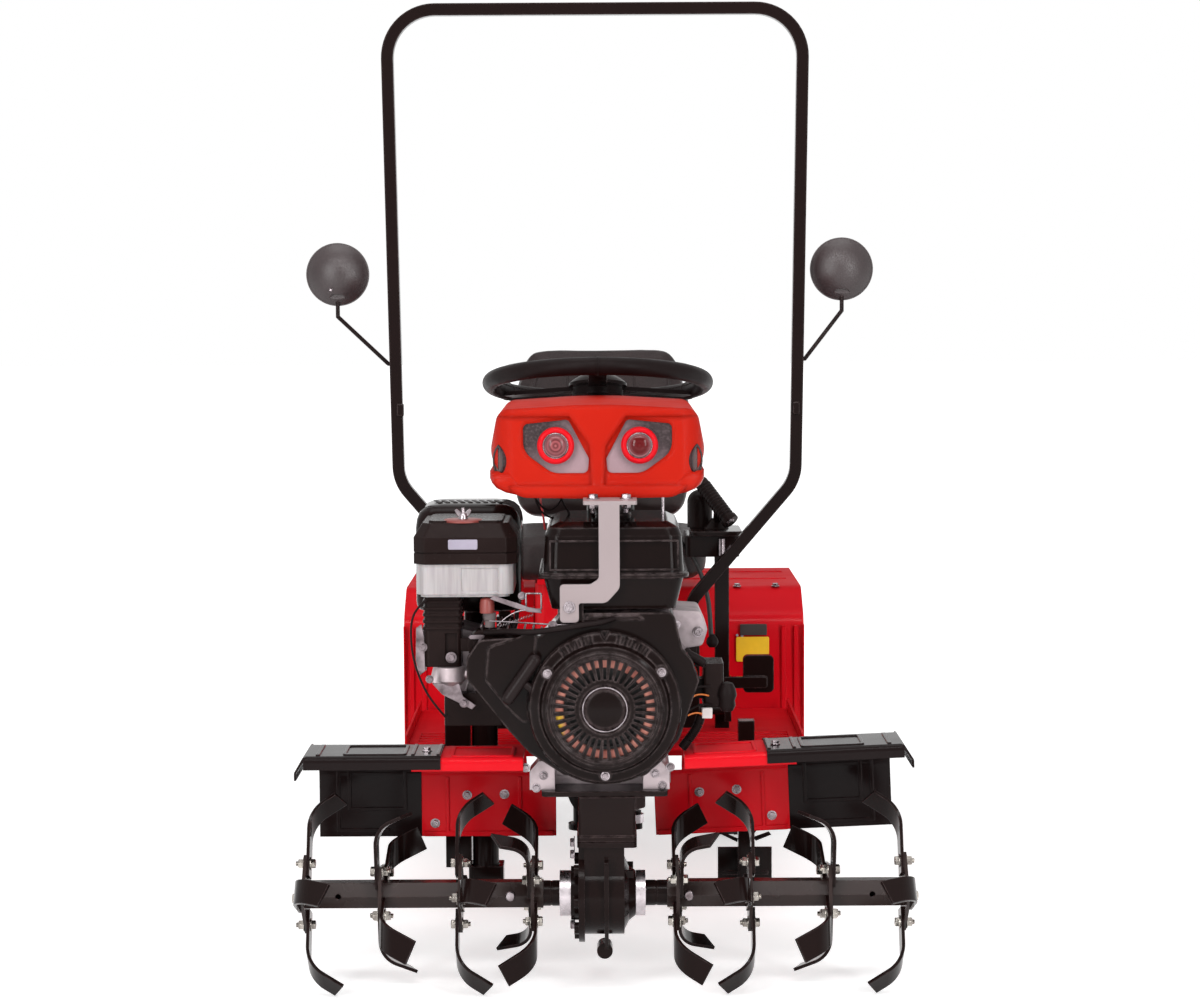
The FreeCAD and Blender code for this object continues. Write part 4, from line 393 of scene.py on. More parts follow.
class Batch:
    """Mesh data of like pieces that become one object."""

    def __init__(self, name, material, body="chassis", smooth=35):
        self.name, self.material, self.body, self.smooth = name, material, body, smooth
        self.verts, self.faces = [], []

    def lathe(self, origin, axis, profile, segments=24, phase=0.0):
        """Closed turned form from (radius, height) points in millimetres, along an axis."""
        axis = axis.normalized()
        side = axis.orthogonal().normalized()
        up = axis.cross(side)
        rings = []
        for r, h in profile:
            centre = origin + axis * (h / 1000)
            if r == 0:
                rings.append([len(self.verts)])
                self.verts.append(centre)
                continue
            rings.append(list(range(len(self.verts), len(self.verts) + segments)))
            for i in range(segments):
                a = 2 * math.pi * i / segments + phase
                self.verts.append(centre + (side * math.cos(a) + up * math.sin(a)) * (r / 1000))
        for low, high in zip(rings, rings[1:]):
            for i in range(segments):
                a, b = low[i % len(low)], low[(i + 1) % len(low)]
                c, d = high[(i + 1) % len(high)], high[i % len(high)]
                self.faces.append([v for k, v in enumerate((a, b, c, d)) if v not in (a, b, c, d)[:k]])

    def plate(self, outline, origin, across, up, thick, edge=0.6):
        """Flat plate with a softened rim: outline in (across, up) millimetres, grown along their normal."""
        normal = across.cross(up).normalized()
        middle = [sum(p[i] for p in outline) / len(outline) for i in (0, 1)]
        rings = []
        for inset, level in ((0, 0), (0, thick - edge), (edge, thick)):
            ring = []
            for u, v in outline:
                du, dv = u - middle[0], v - middle[1]
                size = math.hypot(du, dv) or 1
                k = 1 - inset / size
                ring.append(len(self.verts))
                self.verts.append(origin + (across * (middle[0] + du * k) + up * (middle[1] + dv * k)
                                            + normal * level) / 1000)
            rings.append(ring)
        count = len(outline)
        for low, high in zip(rings, rings[1:]):
            for i in range(count):
                self.faces.append([low[i], low[(i + 1) % count], high[(i + 1) % count], high[i]])
        self.faces.append(rings[0][::-1])
        self.faces.append(rings[-1])

    def stack(self, levels, origin, across, up):
        """Closed skin through outlines with the same number of points, each (outline, height)."""
        normal = across.cross(up).normalized()
        rings = []
        for outline, height in levels:
            rings.append(range(len(self.verts), len(self.verts) + len(outline)))
            self.verts += [origin + (across * u + up * v + normal * height) / 1000 for u, v in outline]
        count = len(rings[0])
        for low, high in zip(rings, rings[1:]):
            for i in range(count):
                self.faces.append([low[i], low[(i + 1) % count], high[(i + 1) % count], high[i]])
        self.faces.append(list(rings[0])[::-1])
        self.faces.append(list(rings[-1]))

    def build(self):
        mesh = bpy.data.meshes.new(self.name)
        mesh.from_pydata([tuple(v) for v in self.verts], [], self.faces)
        work = bmesh.new()
        work.from_mesh(mesh)
        bmesh.ops.recalc_face_normals(work, faces=work.faces)
        work.to_mesh(mesh)
        work.free()
        mesh.materials.append(self.material)
        mesh.shade_smooth()
        mesh.set_sharp_from_angle(angle=math.radians(self.smooth))
        return place(self.name, mesh, self.body)


def place(name, data, body="chassis"):
    obj = bpy.data.objects.new(name, data)
    bpy.context.scene.collection.objects.link(obj)
    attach(obj, body)
    return obj


def rounded(width, height, radius, steps=5):
    """Outline of a rounded rectangle about its middle."""
    points = []
    for sx, sy, start in ((1, 1, 0), (-1, 1, 90), (-1, -1, 180), (1, -1, 270)):
        for i in range(steps + 1):
            a = math.radians(start + 90 * i / steps)
            points.append((sx * (width / 2 - radius) + radius * math.cos(a),
                           sy * (height / 2 - radius) + radius * math.sin(a)))
    return points


def bake(obj):
    """The object's modifiers become its mesh."""
    shown = obj.evaluated_get(bpy.context.evaluated_depsgraph_get())
    mesh = bpy.data.meshes.new_from_object(shown)
    obj.modifiers.clear()
    obj.data = mesh
    return obj


def hose(name, paths, radius, material, order=3):
    """Round cords of one thickness along smooth routes."""
    curve = bpy.data.curves.new(name, "CURVE")
    curve.dimensions = "3D"
    curve.bevel_depth = radius / 1000
    curve.bevel_resolution = 4
    curve.resolution_u = 8
    curve.use_fill_caps = True
    for path in paths:
        line = curve.splines.new("NURBS")
        line.points.add(len(path) - 1)
        for point, p in zip(line.points, path):
            point.co = (*at(*p), 1)
        line.order_u = order
        line.use_endpoint_u = True
    curve.materials.append(material)
    return place(name, curve)


def hex_head(batch, spot, axis, flats, height, washer=True, turn=0.0):
    """Hexagon head with a chamfered crown on its washer."""
    r = flats / math.sqrt(3)
    base = 0.0
    if washer:
        batch.lathe(spot, axis, [(0, 0), (r * 1.30, 0), (r * 1.34, 0.4), (r * 1.30, 1.2), (r * 0.9, 1.3),
                                 (0, 1.3)], 22)
        base = 1.2
    crown = base + height
    batch.lathe(spot, axis, [(0, base), (r, base), (r, base + height * 0.82), (r * 0.86, crown),
                             (r * 0.5, crown), (r * 0.42, crown - 0.5), (0, crown - 0.5)], 6, turn)


def nut_on_stud(batch, spot, axis, flats, height, stud=5.0):
    """Hexagon nut with the threads of its stud standing out."""
    hex_head(batch, spot, axis, flats, height)
    r = flats * 0.30
    profile = [(0, height)]
    for i in range(int(stud)):
        profile += [(r, height + i), (r * 0.86, height + i + 0.5)]
    profile += [(r * 0.8, height + stud), (0, height + stud)]
    batch.lathe(spot, axis, profile, 16)


# ---- world, floor and lamps: even studio light on white ------------------------------------------
WHITE_SEEN = 1.0
AMBIENT = 0.30
FLOOR_LIFT = 0.56
FLOOR_HALF = 30.0
FLOOR_NEAR, FLOOR_FAR = 0.9, 2.6           # where the ground starts to turn white, and is white
FLOOR_COLOR = (0.88, 0.88, 0.88)
SUN_SPREAD = 14
ENGINE = (0, -0.4, 0.6)


def seen_rays(nodes, links):
    """1 for rays that show the background: straight on, mirrored or through glass."""
    path = nodes.new("ShaderNodeLightPath")
    value = path.outputs["Is Camera Ray"]
    for other in ("Is Glossy Ray", "Is Transmission Ray"):
        most = nodes.new("ShaderNodeMath")
        most.operation = "MAXIMUM"
        links.new(value, most.inputs[0])
        links.new(path.outputs[other], most.inputs[1])
        value = most.outputs[0]
    return value


def make_world():
    world = bpy.data.worlds.new("studio")
    world.use_nodes = True
    nodes, links = world.node_tree.nodes, world.node_tree.links
    mix = nodes.new("ShaderNodeMix")
    mix.inputs["A"].default_value = AMBIENT
    mix.inputs["B"].default_value = WHITE_SEEN
    links.new(seen_rays(nodes, links), mix.inputs["Factor"])
    background = nodes["Background"]
    background.inputs["Color"].default_value = (1, 1, 1, 1)
    links.new(mix.outputs[0], background.inputs["Strength"])
    bpy.context.scene.world = world
    bpy.context.scene.view_settings.view_transform = "Standard"


def make_floor():
    """Pale ground that keeps the shadow and turns to plain white farther out."""
    s = Shader("floor")
    nodes, links = s.nodes, s.links
    away = s.add("ShaderNodeVectorMath", {0: s.place}, operation="LENGTH").outputs["Value"]
    lift = s.remap(away, FLOOR_NEAR, FLOOR_FAR, FLOOR_LIFT, WHITE_SEEN)
    glow = s.math("MULTIPLY", lift, seen_rays(nodes, links))
    s.put(s.surface.inputs["Emission Color"], (1.0, 1.0, 1.0))
    s.put(s.surface.inputs["Emission Strength"], glow)
    s.put(s.surface.inputs["Specular IOR Level"], 0.0)
    mat = s.done(FLOOR_COLOR, 0.9)
    mesh = bpy.data.meshes.new("floor")
    corners = [(x * FLOOR_HALF, y * FLOOR_HALF, 0) for x, y in ((-1, -1), (1, -1), (1, 1), (-1, 1))]
    mesh.from_pydata(corners, [], [(0, 1, 2, 3)])
    mesh.materials.append(mat)
    floor = bpy.data.objects.new("floor", mesh)
    bpy.context.scene.collection.objects.link(floor)


def softbox(name, spot, target, width, height, power):
    data = bpy.data.lights.new(name, "AREA")
    data.shape = "RECTANGLE"
    data.size, data.size_y, data.energy = width, height, power
    lamp = bpy.data.objects.new(name, data)
    lamp.location = spot
    lamp.rotation_euler = (Vector(target) - Vector(spot)).to_track_quat("-Z", "Y").to_euler()
    bpy.context.scene.collection.objects.link(lamp)


def sun(name, towards, strength, spread):
    """Even light from one side, the same near and far."""
    data = bpy.data.lights.new(name, "SUN")
    data.energy, data.angle = strength, math.radians(spread)
    lamp = bpy.data.objects.new(name, data)
    lamp.rotation_euler = Vector(towards).to_track_quat("-Z", "Y").to_euler()
    bpy.context.scene.collection.objects.link(lamp)


make_world()
make_floor()
sun("sun_left", (0.55, 1.0, -0.36), 0.22, SUN_SPREAD)
sun("sun_right", (-0.60, 1.0, -0.36), 0.18, SUN_SPREAD)
# place and aim, then width, height and power
softbox("box_left", (-2.1, -3.9, 1.5), ENGINE, 0.6, 2.4, 66)
softbox("box_right", (2.3, -3.7, 1.5), ENGINE, 0.6, 2.4, 58)
softbox("top_front", (0, -2.7, 3.1), ENGINE, 2.8, 0.5, 46)
softbox("top_sheet", (0, -0.2, 3.4), (0, -0.2, 0), 2.6, 1.2, 22)


# ---- rotor: bolt, washer and nut through each blade root -----------------------------------------
# flange's distance from the middle plane, turn of its outer and inner pair of blades, degrees
FLANGES = ((110, 44, -46), (220, -13, 77), (340, 23, -67), (456, 77, -13))
BOLT_CIRCLE = 46.6
BOLT_LEAD = 8.0
FLANGE_FACE = 2.5
BLADE_FACE = 7.5
BOLT_FLATS = 13
HEAD_HEIGHT = 6.5
NUT_HEIGHT = 7.5
STUD_REACH = 5


def around_rotor(x, radius, degrees):
    a = math.radians(degrees)
    return at(x, -radius * math.sin(a), AXIS_Z + radius * math.cos(a))


def rotor_bolts():
    heads = Batch("tine_bolts", BOLT_STEEL, "rotor")
    nuts = Batch("tine_nuts", BOLT_STEEL, "rotor")
    for side in (-1, 1):
        for x, outer, inner in FLANGES:
            for face, tip in ((1, outer), (-1, inner)):
                for half_turn in (0, 180):
                    turn = tip + BOLT_LEAD + half_turn
                    along = RIGHT * side * face
                    hex_head(heads, around_rotor(side * (x + face * BLADE_FACE), BOLT_CIRCLE, turn),
                             along, BOLT_FLATS, HEAD_HEIGHT, turn=math.radians(turn))
                    nut_on_stud(nuts, around_rotor(side * (x - face * FLANGE_FACE), BOLT_CIRCLE, turn),
                                -along, BOLT_FLATS, NUT_HEIGHT, STUD_REACH)
    heads.build()
    nuts.build()
    pins = Batch("tube_pins", BRIGHT, "rotor")
    for x in (-144, 127):
        pins.lathe(at(x, -19, AXIS_Z), FRONT, [(0, 0), (7.5, 0), (7.5, 3), (6, 4.5), (0, 4.8)], 20)
    pins.build()


rotor_bolts()


# ---- chassis fasteners --------------------------------------------------------------------------
DOWN = -UP
LEFT = -RIGHT
BOLTS = (
    # x, depth, z, facing, across flats
    (-119, -30, 352, FRONT, 9), (-92, -30, 340, FRONT, 9), (-103, -30, 321, FRONT, 9),
    (76, -30, 342, FRONT, 9), (99, -30, 352, FRONT, 9), (87, -30, 324, FRONT, 9),
    (108, 30, 560, FRONT, 11), (143, 30, 549, FRONT, 11),
    (-15, -30, 758, UP, 13), (34, -30, 758, UP, 13), (-51, -73, 600, FRONT, 12),
    (-46, 0, 231, LEFT, 13), (-46, 0, 213, LEFT, 13), (-46, -20, 149, LEFT, 13), (-46, -20, 109, LEFT, 13),
    (-269, 0, 373, UP, 10), (259, 0, 381, UP, 10),
    (251, 985, 508, UP, 10), (323, 985, 508, UP, 10), (-251, 985, 508, UP, 10), (-323, 985, 508, UP, 10),
)
PANEL_BOLTS = ((-218, 271), (-159, 272), (-269, 226), (150, 274), (209, 278), (265, 236))


def chassis_bolts():
    heads = Batch("frame_bolts", BRIGHT)
    for x, d, z, facing, flats in BOLTS:
        hex_head(heads, at(x, d, z), facing, flats, flats * 0.45)
    for x, z in PANEL_BOLTS:
        hex_head(heads, at(x, 175, z), FRONT, 10, 4.5)
    for x, z in ((281, 259), (-290, 256)):
        heads.lathe(at(x, 905, z), FRONT, [(0, 0), (13, 0), (13, 1.6), (0, 1.8)], 24)
        hex_head(heads, at(x, 903.5, z), FRONT, 12, 5, washer=False)
    heads.build()
    nuts = Batch("flange_nuts", BRIGHT)
    for x in (-15, 34):
        nut_on_stud(nuts, at(x, -30, 752), DOWN, 13, 8, 8)
    nuts.build()


chassis_bolts()


# ---- fenders: two blank plates --------------------------------------------------------------------
def fender_plates():
    black = Batch("blank_plate_black", PLATE_BLACK)
    black.plate(rounded(50, 21, 2), at(277, 905, 436.5), RIGHT, UP, 1.6, 0.4)
    black.build()
    yellow = Batch("blank_plate_yellow", YELLOW)
    yellow.plate(rounded(61, 46, 3), at(275.5, 905, 400), RIGHT, UP, 1.2, 0.4)
    yellow.build()


fender_plates()


# ---- pull starter: bare badge ring, screws, fan blades -------------------------------------------
RECOIL = (1, 451)
RECOIL_D = -102
FAN_VANES = 36


def recoil_trim():
    ring = Batch("badge_ring", BRIGHT, smooth=50)
    x, z = RECOIL
    ring.lathe(at(x, RECOIL_D + 3, z), FRONT,
               [(31.6, 0), (31.6, 2.2), (32.2, 3.0), (33.4, 3.0), (34, 2.0), (34, 0), (31.6, 0)], 64)
    for dx, dz in ((-83.8, 504), (84.9, 505.5), (1, 351)):
        hex_head(ring, at(dx, -95, dz), FRONT, 9, 4.5)
    ring.build()
    disc = Batch("badge_disc", MATS["engine_black"], smooth=50)
    disc.lathe(at(x, RECOIL_D + 3, z), FRONT, [(0, 1.6), (26, 1.6), (31, 0.9), (31.8, 0), (0, 0)], 48)
    disc.build()
    vanes = Batch("fan_vanes", MATS["fan_copper"])
    for i in range(FAN_VANES):
        a = 2 * math.pi * i / FAN_VANES
        out = Vector((math.sin(a), 0, math.cos(a)))
        across = Vector((math.cos(a), 0, -math.sin(a)))
        vanes.plate([(-3.4, 62), (3.4, 62), (3.8, 74), (-3.8, 74)], at(x, -91, z), across, out, 4.6, 0.8)
    vanes.build()


recoil_trim()


# ---- fuel tank: cap ribs and the framed front -----------------------------------------------------
CAP_FOOT = (15, 90, 732)
CAP_REACH = 0.0325       # from the cap's axis to its ribs, in metres
CAP_RISE = 0.0135
CAP_RIBS = 28


def tank_trim():
    ribs = Batch("tank_cap_ribs", MATS["black_plastic"])
    for i in range(CAP_RIBS):
        a = 2 * math.pi * i / CAP_RIBS
        out = Vector((math.sin(a), math.cos(a), 0))
        across = out.cross(UP)
        ribs.plate([(-1.6, 0), (1.6, 0), (1.6, 13), (-1.6, 13)], at(*CAP_FOOT) + out * CAP_REACH,
                   across, UP, 1.8, 0.5)
    ribs.lathe(at(*CAP_FOOT) + UP * CAP_RISE, UP, [(0, 0), (26, 0), (24, 2.2), (12, 3.0), (0, 3.2)], 32)
    ribs.build()
    rim = Batch("tank_face_frame", MATS["engine_black"])
    left, right, low, high = -81, 112, 653, 699
    for x0, x1, z0, z1 in ((left, right, high - 3, high), (left, right, low, low + 3),
                           (left, left + 3, low + 3, high - 3), (right - 3, right, low + 3, high - 3)):
        w, h = x1 - x0, z1 - z0
        rim.plate(rounded(w, h, 1.2, 2), at((x0 + x1) / 2, -61.6, (z0 + z1) / 2), RIGHT, UP, 2.4, 1.0)
    rim.build()


tank_trim()


# ---- air cleaner: wing nut on its washer, a blank strip -------------------------------------------
CLEANER_AXIS = (-212, 20)


def cleaner_trim():
    washer = Batch("cleaner_washer", RED_CAP)
    washer.lathe(at(*CLEANER_AXIS, 720), UP, [(0, 0), (30, 0), (30, 2.6), (27, 4), (0, 4.4)], 40)
    washer.build()
    nut = Batch("cleaner_wing_nut", BRIGHT, smooth=45)
    nut.lathe(at(*CLEANER_AXIS, 724), UP, [(0, 0), (7.5, 0), (6.5, 7), (5, 9), (0, 9)], 24)
    nut.lathe(at(*CLEANER_AXIS, 733), UP, [(0, 0), (3, 0), (3, 7), (2.4, 8), (0, 8)], 16)
    for side in (-1, 1):
        nut.plate([(0, 0), (side * 9, 4), (side * 13, 12), (side * 10, 15), (side * 5, 12), (0, 6)][::side],
                  at(-212, 21, 725), RIGHT, UP, 2.4, 0.8)
    nut.build()
    strip = Batch("cleaner_strip", LABEL)
    strip.plate(rounded(44, 15, 2), at(-211, -19.7, 689), RIGHT, UP, 0.6, 0.2)
    strip.build()


cleaner_trim()


# ---- exhaust cover: pressed sheet with rounded shoulders and fine louvres ---------------------------
LOUVRES = 9


def exhaust_cover():
    skin = Batch("exhaust_cover", MATS["black_paint"], smooth=60)
    width, depth = 166, 168
    levels = []
    for height, inset in ((0, 12), (3, 5), (9, 1), (16, 0), (132, 0), (146, 2), (156, 6), (163, 13),
                          (167, 22), (169, 34), (170, 50)):
        corner = max(24 - inset * 0.3, 8)
        levels.append((rounded(width - 2 * inset, depth - 2 * inset, corner, 6), height))
    skin.stack(levels, at(-212.5, 243, 564), RIGHT, -FRONT)
    pipe_start = at(-205, 152, 516)
    pipe_way = at(0, 55, 70) - at(0, 0, 0)
    skin.lathe(pipe_start, pipe_way, [(0, 0), (15.5, 0), (15.5, 84), (0, 84)], 28)
    cover = skin.build()
    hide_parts("muffler_guard")
    louvres = Batch("exhaust_louvres", RUBBER)
    slant = 0.25
    across = (RIGHT - FRONT * slant).normalized()
    along = (-FRONT - RIGHT * slant).normalized()
    for i in range(LOUVRES):
        louvres.plate(rounded(7, 46, 3), at(-262 + i * 12, 222, 733.2), across, along, 1.4, 0.6)
    louvres.build()


exhaust_cover()


# ---- lamps: red ring and bright inner ring round each lens ----------------------------------------
FAIRING_X = -8
LAMP_Z = 836
LAMP_X = 82 - 19


def lamp_rings():
    red = Batch("lamp_rings_red", MATS["red_paint"], smooth=50)
    bright = Batch("lamp_rings_bright", BRIGHT, smooth=50)
    for side in (-1, 1):
        spot = at(FAIRING_X + side * LAMP_X, -4, LAMP_Z)
        red.lathe(spot, FRONT, [(19.4, 0), (19.4, 4.5), (21, 6.6), (24, 7.0), (26.5, 5.2), (28, 1.5), (28, 0),
                                (19.4, 0)], 56)
        bright.lathe(spot, FRONT, [(17.6, 3.0), (17.6, 5.2), (18.4, 6.2), (19.4, 5.6), (19.4, 3.0),
                                   (17.6, 3.0)], 56)
    red.build()
    bright.build()


lamp_rings()


# ---- fairing: rounded skirt that fills the lower corners -------------------------------------------
SKIRT_LEFT = ((-171, 797), (-171.5, 787), (-168, 779), (-161, 771), (-147, 764), (-118, 757.5),
              (-112, 768), (-138, 797))
SKIRT_RIGHT = ((122, 797), (96, 768), (98, 757.5), (126, 763), (140, 769), (148, 776), (153, 786),
               (153, 797))
SKIRT_LEVELS = ((-312, 0.80), (-306, 0.94), (-296, 1.0), (-24, 1.0), (-12, 0.97), (-3, 0.88), (2, 0.70))


def fairing_skirt():
    skirt = Batch("fairing_skirt", FAIRING_RED, smooth=50)
    for outline in (SKIRT_LEFT, SKIRT_RIGHT):
        middle = [sum(p[i] for p in outline) / len(outline) for i in (0, 1)]
        levels = []
        for height, size in SKIRT_LEVELS:
            ring = [[middle[i] + (p[i] - middle[i]) * size for i in (0, 1)] for p in reversed(outline)]
            levels.append((ring, height))
        skirt.stack(levels, at(0, 0, 0), RIGHT, UP)
    skirt.build()


fairing_skirt()


# ---- carburettor side: rods, levers, brackets, screws ---------------------------------------------
COIL_TURNS = 12
COIL_POINTS = 8          # points to a turn


def linkage():
    bare = Batch("linkage_plates", PLATE_STEEL)
    bare.plate([(-171, 607), (-166, 612), (-131, 601), (-112, 594), (-95, 591), (-93, 585), (-113, 587),
                (-136, 594)], at(0, -20, 0), RIGHT, UP, 2.0, 0.6)
    bare.plate(rounded(25, 7, 3.4), at(-191, -15, 549), RIGHT, UP, 4, 1.4)
    bare.plate([(-284, 560), (-276, 566), (-272, 548), (-271, 494), (-279, 488), (-285, 510)],
               at(0, 6, 0), RIGHT, UP, 3, 1)
    bare.plate([(-260, 477), (-219, 477), (-213, 457), (-194, 443), (-200, 437), (-245, 460)],
               at(0, -4, 0), RIGHT, UP, 2.5, 0.8)
    hex_head(bare, at(-231, -2, 516), FRONT, 11, 4.5)
    hex_head(bare, at(-76, -70, 573), FRONT, 9, 4)
    hex_head(bare, at(-274, 4, 531), FRONT, 9, 4)
    hex_head(bare, at(-264, -2, 483), FRONT, 8, 3.5)
    hex_head(bare, at(-212, -6, 447), FRONT, 9, 4)
    hex_head(bare, at(-123, -8, 610), FRONT, 8, 3.5)
    bare.build()
    frame_lines = [(-117, -14, 614), (-94, -14, 614), (-94, -14, 590), (-117, -14, 590), (-117, -14, 614)]
    hose("linkage_bracket", [[frame_lines[i], frame_lines[i + 1]] for i in range(4)], 1.4, BRIGHT, order=2)
    hose("linkage_rods", [[(-172, -22, 574), (-74, -70, 574)], [(-76, -68, 573), (4, -68, 575)],
                          [(-160, -16, 566), (-140, -20, 588), (-118, -22, 590)]], 1.3, BRIGHT)
    cap = Batch("breather_cap", RED_CAP)
    cap.lathe(at(-176, -4, 584), UP, [(0, 0), (11, 0), (11, 16), (9.5, 21), (5, 23), (0, 23.5)], 28)
    cap.build()
    stem = Batch("breather_stem", GASKET)
    stem.lathe(at(-172, -2, 562), UP, [(0, 0), (8, 0), (8, 10), (9.5, 12), (9.5, 22), (0, 22)], 24)
    stem.build()
    coil = []
    last = COIL_TURNS * COIL_POINTS
    for i in range(last + 1):
        a = 2 * math.pi * i / COIL_POINTS
        k = i / last
        coil.append((-158 + 52 * k, -30 + 2.6 * math.sin(a), 566 + 18 * k + 2.6 * math.cos(a)))
    hose("governor_spring", [coil], 0.5, BRIGHT)


def hoses():
    hose("breather_hose", [[(-178, -16, 556), (-166, -30, 557), (-140, -58, 563), (-108, -76, 563),
                            (-70, -78, 568), (-30, -76, 574), (10, -72, 579), (38, -40, 590)]], 4.6, RUBBER)
    hose("choke_cable", [[(-268, -6, 604), (-280, -10, 594), (-290, -12, 575), (-291, -12, 545),
                          (-288, -12, 518), (-280, -12, 490), (-268, -8, 462), (-252, -2, 438),
                          (-240, 2, 424)]], 1.7, RUBBER)
    hose("fuel_pipe", [[(-132, 20, 596), (-130, 0, 570), (-142, -16, 552), (-170, -14, 538)]], 3.4, RUBBER)
    hose("lamp_wires", [[(-106, 100, 760), (-104, 98, 738), (-88, 96, 720), (-66, 98, 716), (-56, 100, 700)],
                        [(-60, 96, 760), (-66, 94, 738), (-90, 92, 726), (-104, 94, 748)],
                        [(-70, 100, 760), (-60, 100, 735), (-48, 100, 720), (-60, 102, 690)]], 1.5, RUBBER)
    hose("lamp_wire_red", [[(-97, 98, 760), (-97, 98, 744), (-93, 98, 726), (-90, 98, 700)]], 1.7, WIRE_RED)
    hose("brake_cable", [[(128, 630, 636), (139, 634, 621), (156, 638, 600), (170, 640, 572), (180, 642, 540),
                          (186, 642, 505), (188, 642, 460)]], 4.2, braid("cable_braid"))
    ball = Batch("cable_end", RUBBER)
    ball.lathe(at(190, 640, 440), UP,
               [(0, 0), (6, 1), (10, 6), (11, 11), (9, 17), (5, 21), (4, 24), (0, 24)], 28)
    ball.build()
    hose("silver_rod", [[(92, 100, 758), (92, 100, 714)]], 2.2, BRIGHT, order=2)


def braid(name):
    """Woven black sleeve with pale flecks."""
    s = Shader(name)
    weave = s.add("ShaderNodeTexVoronoi", {"Vector": s.place, "Scale": 520.0}).outputs["Distance"]
    flecks = s.remap(weave, 0.12, 0.05)
    tone = s.mix(s.math("MULTIPLY", flecks, 0.6), linear(22, 18, 18), linear(170, 160, 150))
    return s.done(tone, s.remap(weave, 0, 1, 0.4, 0.6), s.bump(weave, 0.5, 0.0006))


def wiring():
    """Engine switch leads at the right: corrugated sleeve, white connector, loose wires."""
    sleeve = Batch("lead_sleeve", RUBBER)
    bends = ((146, -2, 424), (142, -4, 412), (135, -6, 400), (126, -8, 388), (118, -8, 378))
    path = [Vector(p) for p in bends]
    for i in range(21):
        k = i / 20 * (len(path) - 1)
        j = min(int(k), len(path) - 2)
        spot = path[j].lerp(path[j + 1], k - j)
        step = (path[j + 1] - path[j]).normalized()
        sleeve.lathe(at(*spot), step,
                     [(0, -1.6), (6.0, -1.6), (7.6, -0.4), (7.6, 0.4), (6.0, 1.6), (0, 1.6)], 18)
    sleeve.build()
    plug = Batch("lead_connector", SOCKET_WHITE)
    plug.plate(rounded(16, 16, 2), at(155.5, -2, 430), RIGHT, UP, 9, 1)
    plug.build()
    hose("leads_black", [[(163, -4, 440), (150, -10, 446), (132, -14, 438), (118, -20, 430), (108, -30, 420)],
                         [(160, -4, 470), (140, -12, 472), (126, -18, 462), (112, -28, 456)],
                         [(152, -6, 500), (138, -14, 508), (124, -24, 500)]], 1.7, RUBBER)
    hose("leads_orange", [[(158, -5, 456), (142, -14, 462), (128, -20, 452), (114, -28, 444)],
                          [(155, -6, 424), (142, -12, 436), (126, -18, 428)]], 1.3, WIRE_ORANGE)
    boot = Batch("plug_boot", RUBBER)
    boot.lathe(at(121, -6, 522), RIGHT * 0.86 - UP * 0.42 + FRONT * 0.28,
               [(0, 0), (9, 0), (9.5, 4), (7.5, 8), (7.5, 30), (5.5, 36), (0, 37)], 24)
    boot.build()
    wrap = Batch("tape_wrap", RUBBER)
    wrap.lathe(at(186, 2, 452), UP,
               [(0, -22), (9, -20), (13, -12), (12, -4), (15, 4), (13, 14), (9, 22), (0, 25)], 22)
    wrap.build()


linkage()
hoses()
wiring()


# ---- soft seat: cloth under pressure, then piping --------------------------------------------------
VOXEL_SIZE = 0.006
CLOTH_FRAMES = 20
SWELL_LIMIT = 0.012
CLOTH_PRESSURE = 4.0


def stuffed(name, node, shape):
    """Padded copy of a seat solid: shrunk, voxel remeshed, swollen as cloth and smoothed."""
    low, high = (Vector(v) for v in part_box(node))
    middle = (low + high) / 2
    half = (high - low) / 2
    mesh = NODES[node].data.copy()
    mesh.materials.clear()
    mesh.materials.append(MATS["seat_vinyl"])
    for v in mesh.vertices:
        u = [(v.co[i] - middle[i]) / half[i] for i in range(3)]
        k = shape(u[2])
        v.co = middle + Vector([u[i] * half[i] * k[i] for i in range(3)])
    obj = bpy.data.objects.new(name, mesh)
    bpy.context.scene.collection.objects.link(obj)
    voxels = obj.modifiers.new("voxels", "REMESH")
    voxels.mode = "VOXEL"
    voxels.voxel_size = VOXEL_SIZE
    bake(obj)
    start = [v.co.copy() for v in obj.data.vertices]
    cloth = obj.modifiers.new("cloth", "CLOTH").settings
    cloth.use_pressure = True
    cloth.uniform_pressure_force = CLOTH_PRESSURE
    cloth.effector_weights.gravity = 0
    for frame_number in range(1, CLOTH_FRAMES + 1):
        bpy.context.scene.frame_set(frame_number)
    bake(obj)
    for v, old in zip(obj.data.vertices, start):
        step = v.co - old
        if step.length > SWELL_LIMIT:
            v.co = old + step * (SWELL_LIMIT / step.length)
    bpy.context.scene.frame_set(1)
    smooth = obj.modifiers.new("smooth", "SMOOTH")
    smooth.factor, smooth.iterations = 0.6, 6
    bake(obj)
    obj.modifiers.new("fine", "SUBSURF").levels = 1
    bake(obj)
    obj.data.shade_smooth()
    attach(obj, "chassis")
    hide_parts(node)
    return obj


def cushion_shape(_):
    """The same at every height."""
    return 0.95, 0.95, 0.80


def back_shape(level):
    """Narrower below its middle and taller above it, level going from -1 to 1."""
    return 0.91 - 0.08 * max(-level, 0), 0.86, 1.06 if level > 0 else 0.985


stuffed("seat_pad", "seat_cushion", cushion_shape)
backrest = stuffed("seat_backrest", "seat_back", back_shape)


def welt(name, obj, path, towards, radius):
    """Piping laid on a padded piece: each point of the path drops onto its surface."""
    points = []
    for x, d, z in path:
        hit, spot, _, _ = obj.ray_cast(at(x, d, z), towards)
        if hit:
            points.append(((spot.x * 1000) - MIDDLE, (spot.y - ROTOR_Y) * 1000, spot.z * 1000))
    if len(points) > 3:
        piece = hose(name, [points], radius, MATS["seat_vinyl"])


